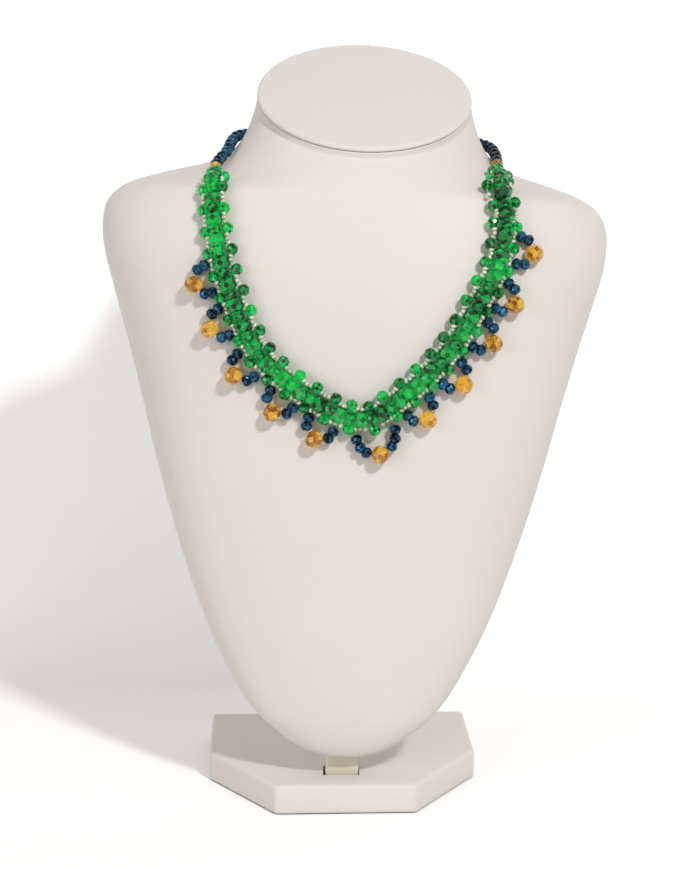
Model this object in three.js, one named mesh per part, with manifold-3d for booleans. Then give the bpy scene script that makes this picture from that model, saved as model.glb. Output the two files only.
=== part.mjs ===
// Bib necklace of woven glass beads on a padded neck bust stand.
// Millimetres, +Z up, the front of the bust faces -Y, origin at the middle of the base's underside.
import * as THREE from "three";
import * as BufferGeometryUtils from "three/addons/utils/BufferGeometryUtils.js";
import Module from "manifold-3d";

const wasm = await Module();
wasm.setup();

// Overall sizes of the bust
const BUST_TIP_HEIGHT = 18.6;
const NECK_TOP_HEIGHT = 262.2;
const SHOULDER_HALF_WIDTH = 95.4;
const CHEST_DEPTH = 48;
const LEAN_ANGLE = 1.4;
const SHOULDER_ROLL = 1.0;
const NECK_TILT = 27.2;
const NECK_SHIFT = 2.4;
const NECK_CENTRE_Y = 4;
const TIP_SETBACK = 42;
const BACK_ROUNDNESS = 2.6;
const NECK_ROUNDNESS = 2;
const NECK_RIM = 2.4;
const NECK_RIM_EDGE = 0.6;
const CAP_THICKNESS = 1.7;
const CAP_SEAM = 0.3;
const CAP_EDGE = 0.4;
const CAP_CROWN = 1.1;

// Base board and post
const BASE_WIDTH = 104;
const BASE_FRONT = 50.2;
const BASE_BACK = 43;
const BASE_THICKNESS = 11.4;
const BASE_FRONT_WIDTH = 52.8;
const BASE_CHAMFER_DEPTH = 41.5;
const BASE_EDGE = 1.2;
const BASE_YAW = 2.2;
const POST_WIDTH = 12.6;
const POST_DEPTH = 8;
const POST_FRONT_SETBACK = 14.9;
const POST_GRIP = 40;
const SLOT_FLOOR = 4;
const SLOT_SIDE_GAP = 0.6;
const SLOT_FRONT_GAP = 3;
const POST_CLEARANCE = 0.3;

// Beads, threads and weave
const CORE_DIAMETER = 6.2;
const CORE_LENGTH = 6.2;
const EDGE_DIAMETER = 4.2;
const EDGE_LENGTH = 4;
const EDGE_OFFSET = 4.4;
const TAPER_UNITS = 4;
const TAPER_SHARE = 0.7;
const CENTRE_DIAMETER = 4.4;
const CENTRE_LENGTH = 3.8;
const CENTRE_RISE = 1.1;
const EDGE_RISE = 0.5;
const CORE_REACH = 0.2;
const BLUE_DIAMETER = 4.3;
const BLUE_LENGTH = 3.3;
const AMBER_DIAMETER = 6.5;
const AMBER_LENGTH = 5.8;
const AMBER_BORE = 1.7;
const STRAND_DIAMETER = 4.4;
const STRAND_PITCH = 4.7;
const SEED_DIAMETER = 1.7;
const THREAD_DIAMETER = 0.7;
const CLASP_DIAMETER = 5;
const CLASP_LENGTH = 12;
const CLASP_ROUNDING = 1.5;
const CLASP_RISE = 0.4;
const WEAVE_PITCH = 8;
const LEFT_UNITS = 15;
const RIGHT_UNITS = 15;
const PICOTS_A_SIDE = 5;
const UNITS_A_PICOT = 2;
const PICOT_DROP = 12.7;
const CENTRE_PICOT_DROP = 13.6;
const SEAT_CLEARANCE = 0.5;
const PIECE_GAP = 0.3;
const SHORT_THREAD = 0.4;
const THREAD_END = 0.47;
const BEAD_END = 0.66;
const STRING_MARGIN = 0.02;
const BEAD_SIDES = 10;
const BUST_SIDES = 32;
const BORE_STATIONS = [-1.2, -1, 1, 1.2];

// Sections of the bust from the tip to the neck's top. Heights are shares of the way from the tip to
// the top, widths shares of the shoulder, depths shares of the chest, setback a share of the tip's own.
// Full is the front's roundness: 2 is an ellipse, more is flatter.
const SECTIONS = [
  { height: 0.0, width: 0.006, front: 0.012, back: 0.012, setback: 1.0, full: 2.7, tilt: 0, shift: 0 },
  { height: 0.0037, width: 0.084, front: 0.083, back: 0.063, setback: 0.988, full: 2.7, tilt: 0, shift: 0 },
  { height: 0.0163, width: 0.178, front: 0.156, back: 0.125, setback: 0.964, full: 2.7, tilt: 0, shift: 0 },
  { height: 0.0388, width: 0.264, front: 0.229, back: 0.188, setback: 0.94, full: 2.7, tilt: 0, shift: 0 },
  { height: 0.0695, width: 0.355, front: 0.302, back: 0.24, setback: 0.905, full: 2.7, tilt: 0, shift: 0 },
  { height: 0.1206, width: 0.447, front: 0.396, back: 0.302, setback: 0.833, full: 2.7, tilt: 0, shift: 0 },
  { height: 0.2145, width: 0.566, front: 0.521, back: 0.375, setback: 0.726, full: 2.7, tilt: 0, shift: 0 },
  { height: 0.3371, width: 0.68, front: 0.656, back: 0.458, setback: 0.583, full: 2.7, tilt: 0, shift: 0 },
  { height: 0.4516, width: 0.767, front: 0.771, back: 0.542, setback: 0.464, full: 2.7, tilt: 0, shift: 0 },
  { height: 0.5415, width: 0.828, front: 0.865, back: 0.604, setback: 0.357, full: 2.7, tilt: 0, shift: 0 },
  { height: 0.6355, width: 0.895, front: 0.948, back: 0.646, setback: 0.25, full: 2.7, tilt: 0, shift: 0 },
  { height: 0.7049, width: 0.948, front: 0.99, back: 0.677, setback: 0.179, full: 2.7, tilt: 0, shift: 0 },
  { height: 0.7662, width: 0.992, front: 1.0, back: 0.688, setback: 0.119, full: 2.7, tilt: 0, shift: 0 },
  { height: 0.8112, width: 1.0, front: 0.978, back: 0.698, setback: 0.071, full: 2.7, tilt: 0, shift: 0 },
  { height: 0.8439, width: 0.973, front: 0.938, back: 0.698, setback: 0.048, full: 2.75, tilt: 0, shift: 0 },
  { height: 0.8676, width: 0.893, front: 0.9135, back: 0.708, setback: 0.024, full: 2.85, tilt: 0, shift: 0.125 },
  { height: 0.8827, width: 0.765, front: 0.9105, back: 0.715, setback: 0.012, full: 3, tilt: 0.106, shift: 0.375 },
  { height: 0.8946, width: 0.639, front: 0.905, back: 0.721, setback: 0.005, full: 3.15, tilt: 0.19, shift: 0.625 },
  { height: 0.9076, width: 0.556, front: 0.8955, back: 0.729, setback: 0, full: 3.1, tilt: 0.286, shift: 0.833 },
  { height: 0.9256, width: 0.503, front: 0.877, back: 0.75, setback: 0, full: 2.85, tilt: 0.42, shift: 0.958 },
  { height: 0.9501, width: 0.465, front: 0.85, back: 0.771, setback: 0, full: 2.55, tilt: 0.617, shift: 1 },
  { height: 0.9767, width: 0.44, front: 0.814, back: 0.775, setback: 0, full: 2.25, tilt: 0.826, shift: 1 },
  { height: 1.0, width: 0.4256, front: 0.777, back: 0.777, setback: 0, full: 2, tilt: 1, shift: 1 },
];
const FINE_FROM = 0.8;

// The necklace's middle line on the bust, once round from the point of the V: degrees from the front,
// and height as a share of the way from the tip to the neck's top.
const NECKLACE_ROUTE = [
  { angle: 2.4, height: 0.5446 },
  { angle: 5.2, height: 0.5629 },
  { angle: 12, height: 0.6085 },
  { angle: 18.1, height: 0.6631 },
  { angle: 22.3, height: 0.7228 },
  { angle: 25.6, height: 0.7764 },
  { angle: 27.4, height: 0.8306 },
  { angle: 30, height: 0.8693 },
  { angle: 48.6, height: 0.8951 },
  { angle: 65.6, height: 0.909 },
  { angle: 82.5, height: 0.9215 },
  { angle: 98, height: 0.9265 },
  { angle: 120, height: 0.9255 },
  { angle: 150, height: 0.92 },
  { angle: 180, height: 0.917 },
  { angle: 210, height: 0.919 },
  { angle: 240, height: 0.925 },
  { angle: 259, height: 0.9275 },
  { angle: 273.9, height: 0.921 },
  { angle: 280.8, height: 0.9099 },
  { angle: 292.5, height: 0.9019 },
  { angle: 307.4, height: 0.8951 },
  { angle: 322.6, height: 0.8837 },
  { angle: 333.1, height: 0.8548 },
  { angle: 335.7, height: 0.8053 },
  { angle: 337.4, height: 0.7483 },
  { angle: 339.9, height: 0.6881 },
  { angle: 343.7, height: 0.6328 },
  { angle: 350.3, height: 0.5917 },
  { angle: 357.1, height: 0.5582 },
  { angle: 359.9, height: 0.5451 },
  { angle: 362.4, height: 0.5446 },
];
const ROUTE_STEPS = 1400;

// The curve through the sections, at one height share
function sectionAt(share) {
  const last = SECTIONS.length - 1;
  const height = THREE.MathUtils.clamp(share, 0, 1);
  let index = 0;
  while (index < last - 1 && SECTIONS[index + 1].height <= height) index += 1;
  const below = SECTIONS[index];
  const above = SECTIONS[index + 1];
  const span = above.height - below.height;
  const t = (height - below.height) / span;
  const slope = (at, key) => {
    const low = SECTIONS[Math.max(at - 1, 0)];
    const high = SECTIONS[Math.min(at + 1, last)];
    return (high[key] - low[key]) / (high.height - low.height);
  };
  const section = {};
  for (const key of ["width", "front", "back", "setback", "full", "tilt", "shift"]) {
    section[key] =
      (2 * t ** 3 - 3 * t ** 2 + 1) * below[key] +
      (t ** 3 - 2 * t ** 2 + t) * span * slope(index, key) +
      (3 * t ** 2 - 2 * t ** 3) * above[key] +
      (t ** 3 - t ** 2) * span * slope(index + 1, key);
  }
  return section;
}

// A point of the bust's skin: angle in degrees from the front towards +X, and a height share
function skinPoint(angle, share) {
  const section = sectionAt(share);
  const radians = THREE.MathUtils.degToRad(angle);
  const sine = Math.sin(radians);
  const cosine = Math.cos(radians);
  const backRoundness = THREE.MathUtils.lerp(BACK_ROUNDNESS, NECK_ROUNDNESS, section.shift);
  const roundness = cosine >= 0 ? section.full : backRoundness;
  const depth = CHEST_DEPTH * (cosine >= 0 ? section.front : section.back);
  const across = SHOULDER_HALF_WIDTH * section.width * Math.sign(sine) * Math.abs(sine) ** (2 / roundness);
  const along = -depth * Math.sign(cosine) * Math.abs(cosine) ** (2 / roundness);
  const height = THREE.MathUtils.lerp(BUST_TIP_HEIGHT, NECK_TOP_HEIGHT, share);
  const tilt = Math.tan(THREE.MathUtils.degToRad(NECK_TILT * section.tilt));
  const roll = Math.tan(THREE.MathUtils.degToRad(SHOULDER_ROLL));
  return new THREE.Vector3(
    across + NECK_SHIFT * section.shift,
    NECK_CENTRE_Y - TIP_SETBACK * section.setback + along,
    height + along * tilt - across * roll,
  );
}

// The skin's point, its two slopes and its outward normal
function skinFrame(angle, share) {
  const turn = 0.05;
  const rise = 0.0004;
  const point = skinPoint(angle, share);
  const round = skinPoint(angle + turn, share).sub(skinPoint(angle - turn, share)).divideScalar(2 * turn);
  const up = skinPoint(angle, share + rise).sub(skinPoint(angle, share - rise)).divideScalar(2 * rise);
  const normal = new THREE.Vector3().crossVectors(round, up).normalize();
  return { point, round, up, normal };
}

// A closed mesh's positions with its shared corners merged
function merged(geometry) {
  geometry.deleteAttribute("normal");
  geometry.deleteAttribute("uv");
  return BufferGeometryUtils.mergeVertices(geometry, 1e-5);
}

function toSolid(geometry) {
  const shape = merged(geometry);
  const vertProperties = new Float32Array(shape.attributes.position.array);
  const triVerts = new Uint32Array(shape.index.array);
  return new wasm.Manifold(new wasm.Mesh({ numProp: 3, vertProperties, triVerts }));
}

function toGeometry(solid) {
  const mesh = solid.getMesh();
  const geometry = new THREE.BufferGeometry();
  geometry.setAttribute("position", new THREE.BufferAttribute(new Float32Array(mesh.vertProperties), 3));
  geometry.setIndex(new THREE.BufferAttribute(new Uint32Array(mesh.triVerts), 1));
  return geometry;
}

// A skin through closed rings of points, with a flat fan at each end
function ringSkin(rings) {
  const sides = rings[0].length;
  const positions = [];
  const indices = [];
  for (const ring of rings) for (const point of ring) positions.push(point.x, point.y, point.z);
  for (let row = 0; row < rings.length - 1; row += 1) {
    for (let side = 0; side < sides; side += 1) {
      const next = (side + 1) % sides;
      const a = row * sides + side;
      const b = row * sides + next;
      indices.push(a, b, b + sides, a, b + sides, a + sides);
    }
  }
  for (const [row, flip] of [[0, true], [rings.length - 1, false]]) {
    const middle = new THREE.Vector3();
    for (const point of rings[row]) middle.addScaledVector(point, 1 / sides);
    const centre = positions.length / 3;
    positions.push(middle.x, middle.y, middle.z);
    for (let side = 0; side < sides; side += 1) {
      const a = row * sides + side;
      const b = row * sides + ((side + 1) % sides);
      indices.push(...(flip ? [b, a, centre] : [a, b, centre]));
    }
  }
  const geometry = new THREE.BufferGeometry();
  geometry.setAttribute("position", new THREE.Float32BufferAttribute(positions, 3));
  geometry.setIndex(indices);
  return geometry;
}

const ringAngles = Array.from({ length: BUST_SIDES }, (_, side) => (360 * side) / BUST_SIDES);

// The slanted rim of the neck, drawn in by an inset and raised off its first ring
const rimRing = ringAngles.map((angle) => skinPoint(angle, 1));
const rimCentre = new THREE.Vector3();
for (const point of rimRing) rimCentre.addScaledVector(point, 1 / rimRing.length);
const rimNormal = new THREE.Vector3()
  .crossVectors(
    rimRing[0].clone().sub(rimCentre),
    rimRing[Math.round(BUST_SIDES / 4)].clone().sub(rimCentre),
  )
  .normalize();

function raisedRim(inset, height) {
  const radius = SHOULDER_HALF_WIDTH * SECTIONS[SECTIONS.length - 1].width;
  return rimRing.map((point) =>
    rimCentre
      .clone()
      .lerp(point, 1 - inset / radius)
      .addScaledVector(rimNormal, height),
  );
}

// Padded bust with the socket that the post stands in
function bustBody(post) {
  const shares = [];
  for (let index = 0; index < SECTIONS.length; index += 1) {
    shares.push(SECTIONS[index].height);
    const next = SECTIONS[index + 1];
    if (next && next.height > FINE_FROM) shares.push((SECTIONS[index].height + next.height) / 2);
  }
  const rings = shares.map((share) => ringAngles.map((angle) => skinPoint(angle, share)));
  rings.push(raisedRim(0, NECK_RIM - NECK_RIM_EDGE), raisedRim(NECK_RIM_EDGE, NECK_RIM));
  const socket = new THREE.BoxGeometry(
    POST_WIDTH + 2 * POST_CLEARANCE,
    POST_DEPTH + 2 * POST_CLEARANCE,
    post.top - post.bottom + 2 * POST_CLEARANCE,
  );
  socket.translate(0, post.y, (post.top + post.bottom) / 2);
  return toGeometry(toSolid(ringSkin(rings)).subtract(toSolid(socket)));
}

// Thin slanted oval cap that closes the neck, its upper edge rounded
function neckCap() {
  const seat = NECK_RIM + CAP_SEAM;
  return ringSkin([
    raisedRim(CAP_EDGE, seat),
    raisedRim(0, seat + CAP_EDGE),
    raisedRim(0, seat + CAP_THICKNESS - CAP_CROWN),
    raisedRim(CAP_CROWN * 0.3, seat + CAP_THICKNESS - CAP_CROWN * 0.3),
    raisedRim(CAP_CROWN * 1.4, seat + CAP_THICKNESS),
  ]);
}

// Base board: a rectangle with its two front corners cut off, its edges rounded, turned a little
function baseBoard(post) {
  const half = BASE_WIDTH / 2 - BASE_EDGE;
  const back = BASE_BACK - BASE_EDGE;
  const front = BASE_EDGE - BASE_FRONT;
  const frontHalf = BASE_FRONT_WIDTH / 2 - BASE_EDGE / 2;
  const corner = front + BASE_CHAMFER_DEPTH;
  const shape = new THREE.Shape([
    new THREE.Vector2(-frontHalf, front),
    new THREE.Vector2(frontHalf, front),
    new THREE.Vector2(half, corner),
    new THREE.Vector2(half, back),
    new THREE.Vector2(-half, back),
    new THREE.Vector2(-half, corner),
  ]);
  const board = new THREE.ExtrudeGeometry(shape, {
    depth: BASE_THICKNESS - 2 * BASE_EDGE,
    bevelEnabled: true,
    bevelThickness: BASE_EDGE,
    bevelSize: BASE_EDGE,
    bevelSegments: 2,
  });
  board.translate(0, 0, BASE_EDGE);
  board.rotateZ(THREE.MathUtils.degToRad(BASE_YAW));
  const slot = new THREE.BoxGeometry(
    POST_WIDTH + 2 * SLOT_SIDE_GAP,
    POST_DEPTH + SLOT_SIDE_GAP + SLOT_FRONT_GAP,
    BASE_THICKNESS,
  );
  slot.translate(0, post.y + (SLOT_SIDE_GAP - SLOT_FRONT_GAP) / 2, SLOT_FLOOR + BASE_THICKNESS / 2);
  return toGeometry(toSolid(board).subtract(toSolid(slot)));
}

function standPost(post) {
  const geometry = new THREE.BoxGeometry(POST_WIDTH, POST_DEPTH, post.top - post.bottom);
  geometry.translate(0, post.y, (post.top + post.bottom) / 2);
  return geometry;
}

// The route as evenly stepped points on the skin, lifted to the middle of the core beads
const turned = ({ angle, height }, turns) => new THREE.Vector3(angle + 360 * turns, height * 100, 0);
const routeCurve = new THREE.CatmullRomCurve3([
  turned(NECKLACE_ROUTE[NECKLACE_ROUTE.length - 2], -1),
  ...NECKLACE_ROUTE.map((point) => turned(point, 0)),
  turned(NECKLACE_ROUTE[1], 1),
]);
const routeSpan = NECKLACE_ROUTE.length + 1;
const coreLift = CORE_DIAMETER / 2 + SEAT_CLEARANCE;
const edgeLift = EDGE_DIAMETER / 2 + SEAT_CLEARANCE + EDGE_RISE;
const routeSteps = [];
let routeLength = 0;
for (let step = 0; step <= ROUTE_STEPS; step += 1) {
  const at = routeCurve.getPoint((1 + (step / ROUTE_STEPS) * (routeSpan - 2)) / routeSpan);
  const frame = skinFrame(at.x, at.y / 100);
  const point = frame.point.clone().addScaledVector(frame.normal, coreLift);
  if (step > 0) routeLength += point.distanceTo(routeSteps[step - 1].point);
  routeSteps.push({ angle: at.x, share: at.y / 100, point, length: routeLength });
}

// Angle and height share at a length along the route. Negative lengths run down the left arm.
function routeAt(along) {
  const length = along < 0 ? routeLength + along : along;
  let low = 0;
  let high = ROUTE_STEPS;
  while (high - low > 1) {
    const middle = (low + high) >> 1;
    if (routeSteps[middle].length <= length) low = middle;
    else high = middle;
  }
  const before = routeSteps[low];
  const after = routeSteps[high];
  const t = (length - before.length) / (after.length - before.length);
  return {
    angle: THREE.MathUtils.lerp(before.angle, after.angle, t),
    share: THREE.MathUtils.lerp(before.share, after.share, t),
  };
}

// Place on the bust at a length along the route and a distance across it (outwards is positive),
// lifted off the skin. It returns the point and the directions along, across and off the skin.
function seatAt(along, across, lift) {
  const step = 0.6;
  const at = routeAt(along);
  const before = routeAt(along - step);
  const after = routeAt(along + step);
  const frame = skinFrame(at.angle, at.share);
  const tangent = skinPoint(after.angle, after.share)
    .sub(skinPoint(before.angle, before.share))
    .normalize();
  const outward = new THREE.Vector3().crossVectors(tangent, frame.normal).normalize();
  const e = frame.round.dot(frame.round);
  const f = frame.round.dot(frame.up);
  const g = frame.up.dot(frame.up);
  const p = frame.round.dot(outward) * across;
  const q = frame.up.dot(outward) * across;
  const determinant = e * g - f * f;
  const moved = skinFrame(
    at.angle + (g * p - f * q) / determinant,
    at.share + (e * q - f * p) / determinant,
  );
  const point = moved.point.clone().addScaledVector(moved.normal, lift);
  return { point, tangent, outward, normal: moved.normal };
}

// A single bead as a faceted barrel along +Y, with or without a bore
function beadGeometry(diameter, length, bore = 0) {
  const radius = diameter / 2;
  const outline = [
    [bore / 2, -length / 2],
    [radius * BEAD_END, -length / 2],
    [radius, 0],
    [radius * BEAD_END, length / 2],
    [bore / 2, length / 2],
  ].map(([x, y]) => new THREE.Vector2(x, y));
  if (bore > 0) outline.push(outline[0].clone());
  return new THREE.LatheGeometry(outline, BEAD_SIDES);
}

// Moves a +Y shape to a place, its axis along a direction
function placed(geometry, point, axis, normal) {
  const side = new THREE.Vector3().crossVectors(axis, normal).normalize();
  const lift = new THREE.Vector3().crossVectors(side, axis).normalize();
  const matrix = new THREE.Matrix4().makeBasis(lift, axis, side);
  if (matrix.determinant() < 0) matrix.makeBasis(lift, axis, side.negate());
  matrix.setPosition(point);
  return geometry.applyMatrix4(matrix);
}

// Beads on a thread as one turned shape bent along a curve. Beads are { at, diameter, length } with
// at a distance along the curve, and one of no length is a knee of the bare thread.
function beadString(curve, beads, threadDiameter) {
  const thread = threadDiameter / 2;
  const length = curve.getLength();
  const outline = [new THREE.Vector2(0, 0), new THREE.Vector2(thread, 0)];
  for (const { at, diameter, length: thickness } of beads) {
    const start = Math.max(at - thickness / 2, STRING_MARGIN);
    const end = Math.min(at + thickness / 2, length - STRING_MARGIN);
    if (start > outline[outline.length - 1].y + SHORT_THREAD) {
      outline.push(new THREE.Vector2(thread, start));
    }
    if (thickness === 0) continue;
    outline.push(new THREE.Vector2(diameter / 2, (start + end) / 2));
    outline.push(new THREE.Vector2(thread, end));
  }
  if (length > outline[outline.length - 1].y + SHORT_THREAD) {
    outline.push(new THREE.Vector2(thread, length));
  }
  outline.push(new THREE.Vector2(0, outline[outline.length - 1].y));
  const geometry = merged(new THREE.LatheGeometry(outline, BEAD_SIDES));
  const position = geometry.attributes.position;
  for (let index = 0; index < position.count; index += 1) {
    const share = THREE.MathUtils.clamp(position.getY(index) / length, 0, 1);
    const point = curve.getPointAt(share);
    const tangent = curve.getTangentAt(share);
    const reference = new THREE.Vector3(point.x, point.y - NECK_CENTRE_Y, 0).normalize();
    const lift = reference.addScaledVector(tangent, -reference.dot(tangent)).normalize();
    const side = new THREE.Vector3().crossVectors(lift, tangent);
    point.addScaledVector(lift, position.getX(index)).addScaledVector(side, position.getZ(index));
    position.setXYZ(index, point.x, point.y, point.z);
  }
  return geometry;
}

// Woven band: core beads across it at every half unit, small beads in the valleys between them, and
// along each side a string of edge beads whose thread touches the ends of the cores
function wovenBand(first, last) {
  const solids = [];
  for (let unit = first + 0.5; unit < last; unit += 1) {
    const seat = seatAt(unit * WEAVE_PITCH, 0, coreLift);
    const core = beadGeometry(CORE_DIAMETER, CORE_LENGTH);
    solids.push(toSolid(placed(core, seat.point, seat.outward, seat.normal)));
  }
  for (let unit = first + 1; unit < last; unit += 1) {
    const seat = seatAt(unit * WEAVE_PITCH, 0, coreLift + CENTRE_RISE);
    const bead = beadGeometry(CENTRE_DIAMETER, CENTRE_LENGTH);
    solids.push(toSolid(placed(bead, seat.point, seat.outward, seat.normal)));
  }
  for (const side of [-1, 1]) {
    const points = [];
    for (let unit = first; unit <= last; unit += 0.5) {
      const isEdge = Number.isInteger(unit);
      const taper = Math.min(1, Math.min(unit - first, last - unit) / TAPER_UNITS);
      const drawnIn = THREE.MathUtils.lerp(TAPER_SHARE, 1, taper);
      const across = isEdge ? EDGE_OFFSET * drawnIn : CORE_LENGTH / 2 + CORE_REACH;
      points.push(seatAt(unit * WEAVE_PITCH, side * across, isEdge ? edgeLift : coreLift).point);
    }
    const curve = new THREE.CatmullRomCurve3(points);
    const total = curve.getLength();
    const beads = [];
    for (let index = 0; index < points.length; index += 2) {
      const at = total * arcShare(curve, index / (points.length - 1));
      const end = EDGE_LENGTH / 2 + STRING_MARGIN;
      beads.push({
        at: THREE.MathUtils.clamp(at, end, total - end),
        diameter: EDGE_DIAMETER,
        length: EDGE_LENGTH,
      });
    }
    solids.push(toSolid(beadString(curve, beads, SEED_DIAMETER)));
  }
  return toGeometry(wasm.Manifold.union(solids));
}

// Share of a curve's length at a value of its own parameter
function arcShare(curve, parameter) {
  const lengths = curve.getLengths();
  const at = parameter * (lengths.length - 1);
  const low = Math.min(Math.floor(at), lengths.length - 2);
  return THREE.MathUtils.lerp(lengths[low], lengths[low + 1], at - low) / lengths[lengths.length - 1];
}

// One fringe loop: blue beads on a thread that leaves the band, runs through the amber bead's bore
// and comes back. Its beads' places are sideways and outwards from the middle of the band.
function picot({ middle, legs, drop }) {
  const blueLift = BLUE_DIAMETER / 2 + SEAT_CLEARANCE;
  const amberLift = AMBER_DIAMETER / 2 + SEAT_CLEARANCE;
  const place = (sideways, outwards, lift) => {
    const seat = seatAt(middle, outwards, lift);
    return seat.point.addScaledVector(seat.tangent, sideways);
  };
  const { tangent, normal } = seatAt(middle, drop, amberLift);
  const start = legs.map(({ sideways, outwards }) => place(-sideways, outwards, blueLift));
  const end = legs.map(({ sideways, outwards }) => place(sideways, outwards, blueLift)).reverse();
  const bore = BORE_STATIONS.map((share) => place((share * AMBER_LENGTH) / 2, drop, amberLift));
  const first = start[0].clone().lerp(start[1], -THREAD_END);
  const last = end[end.length - 1].clone().lerp(end[end.length - 2], -THREAD_END);
  const points = [first, ...start, ...bore, ...end, last];
  const curve = new THREE.CatmullRomCurve3(points, false, "centripetal");
  const total = curve.getLength();
  const beads = [];
  for (let index = 1; index < points.length - 1; index += 1) {
    const isKnee = index > legs.length && index <= legs.length + bore.length;
    const at = total * arcShare(curve, index / (points.length - 1));
    beads.push({ at, diameter: BLUE_DIAMETER, length: isKnee ? 0 : BLUE_LENGTH });
  }
  const amber = beadGeometry(AMBER_DIAMETER, AMBER_LENGTH, AMBER_BORE);
  return {
    string: beadString(curve, beads, THREAD_DIAMETER),
    amber: placed(amber, place(0, drop, amberLift), tangent, normal),
  };
}

// Strand round the neck from an end of the band to the clasp
function backStrand(from, to) {
  const lift = STRAND_DIAMETER / 2 + SEAT_CLEARANCE;
  const steps = Math.round(Math.abs(to - from) / STRAND_PITCH);
  const points = [];
  for (let step = 0; step <= steps; step += 1) {
    points.push(seatAt(THREE.MathUtils.lerp(from, to, step / steps), 0, lift).point);
  }
  const curve = new THREE.CatmullRomCurve3(points);
  const total = curve.getLength();
  const count = Math.round(total / STRAND_PITCH);
  const spacing = total / count;
  const beads = Array.from({ length: count }, (_, index) => ({
    at: (index + 0.5) * spacing,
    diameter: STRAND_DIAMETER,
    length: spacing,
  }));
  return beadString(curve, beads, SEED_DIAMETER);
}

function clasp(middle) {
  const radius = CLASP_DIAMETER / 2;
  const half = CLASP_LENGTH / 2;
  const outline = [
    [0, -half],
    [radius - CLASP_ROUNDING, -half],
    [radius, -half + CLASP_ROUNDING],
    [radius, half - CLASP_ROUNDING],
    [radius - CLASP_ROUNDING, half],
    [0, half],
  ].map(([x, y]) => new THREE.Vector2(x, y));
  const seat = seatAt(middle, 0, radius + SEAT_CLEARANCE + CLASP_RISE);
  return placed(new THREE.LatheGeometry(outline, BEAD_SIDES), seat.point, seat.tangent, seat.normal);
}

const leatherette = new THREE.MeshStandardMaterial({ color: 0xe6dcd2, roughness: 0.75, metalness: 0 });
const greenGlass = new THREE.MeshStandardMaterial({ color: 0x0c8a3a, roughness: 0.1, metalness: 0 });
const blueGlass = new THREE.MeshStandardMaterial({ color: 0x0b2347, roughness: 0.12, metalness: 0.4 });
const amberGlass = new THREE.MeshStandardMaterial({ color: 0xe0951a, roughness: 0.1, metalness: 0 });
const silver = new THREE.MeshStandardMaterial({ color: 0xc8c8c8, roughness: 0.25, metalness: 1 });

const post = {
  y: -BASE_FRONT + POST_FRONT_SETBACK + POST_DEPTH / 2,
  bottom: SLOT_FLOOR + 2 * POST_CLEARANCE,
  top: BUST_TIP_HEIGHT + POST_GRIP,
};

const stand = new THREE.Group();
const leaning = new THREE.Group();
leaning.rotation.y = THREE.MathUtils.degToRad(LEAN_ANGLE);
const necklace = new THREE.Group();
leaning.add(necklace);
stand.add(leaning);

function addPiece(parent, name, geometry, material) {
  const mesh = new THREE.Mesh(geometry, material);
  mesh.name = name;
  parent.add(mesh);
}

addPiece(stand, "base_plate", baseBoard(post), leatherette);
addPiece(leaning, "stand_post", standPost(post), leatherette);
addPiece(leaning, "bust_body", bustBody(post), leatherette);
addPiece(leaning, "neck_cap", neckCap(), leatherette);

addPiece(necklace, "woven_band", wovenBand(-LEFT_UNITS, RIGHT_UNITS), greenGlass);

const sideLegs = [
  { sideways: 5.1, outwards: 6.6 },
  { sideways: 4.5, outwards: 9.8 },
];
const centreLegs = [
  { sideways: 7.2, outwards: 6.1 },
  { sideways: 6.5, outwards: 9.3 },
  { sideways: 4.7, outwards: 11.8 },
];
const picots = [];
for (let index = -PICOTS_A_SIDE; index <= PICOTS_A_SIDE; index += 1) {
  const middle = index * UNITS_A_PICOT * WEAVE_PITCH;
  if (index === 0) picots.push({ middle, legs: centreLegs, drop: CENTRE_PICOT_DROP });
  else picots.push({ middle, legs: sideLegs, drop: PICOT_DROP });
}
picots.forEach((options, index) => {
  const { string, amber } = picot(options);
  const number = String(index + 1).padStart(2, "0");
  addPiece(necklace, `fringe_loop_${number}`, string, blueGlass);
  addPiece(necklace, `amber_bead_${number}`, amber, amberGlass);
});

const rightEnd = RIGHT_UNITS * WEAVE_PITCH + EDGE_LENGTH;
const leftEnd = routeLength - LEFT_UNITS * WEAVE_PITCH - EDGE_LENGTH;
const claspMiddle = (rightEnd + leftEnd) / 2;
const claspGap = CLASP_LENGTH / 2 + PIECE_GAP;
addPiece(necklace, "back_strand_right", backStrand(rightEnd, claspMiddle - claspGap), blueGlass);
addPiece(necklace, "back_strand_left", backStrand(claspMiddle + claspGap, leftEnd), blueGlass);
addPiece(necklace, "clasp", clasp(claspMiddle), silver);

export default stand;
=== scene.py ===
"""Bib necklace of woven glass beads on a padded neck bust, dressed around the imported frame.

Sizes are metres, +Z is up and the bust faces -Y. The bust's skin and the necklace's route are the
same rules as in the part's source, so every bead sits where its solid is.
"""

import logging
import math
from dataclasses import dataclass, field
from enum import Enum
from random import Random
from typing import Iterable, NamedTuple, Sequence

import bmesh
import bpy
from mathutils import Matrix, Vector


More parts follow.
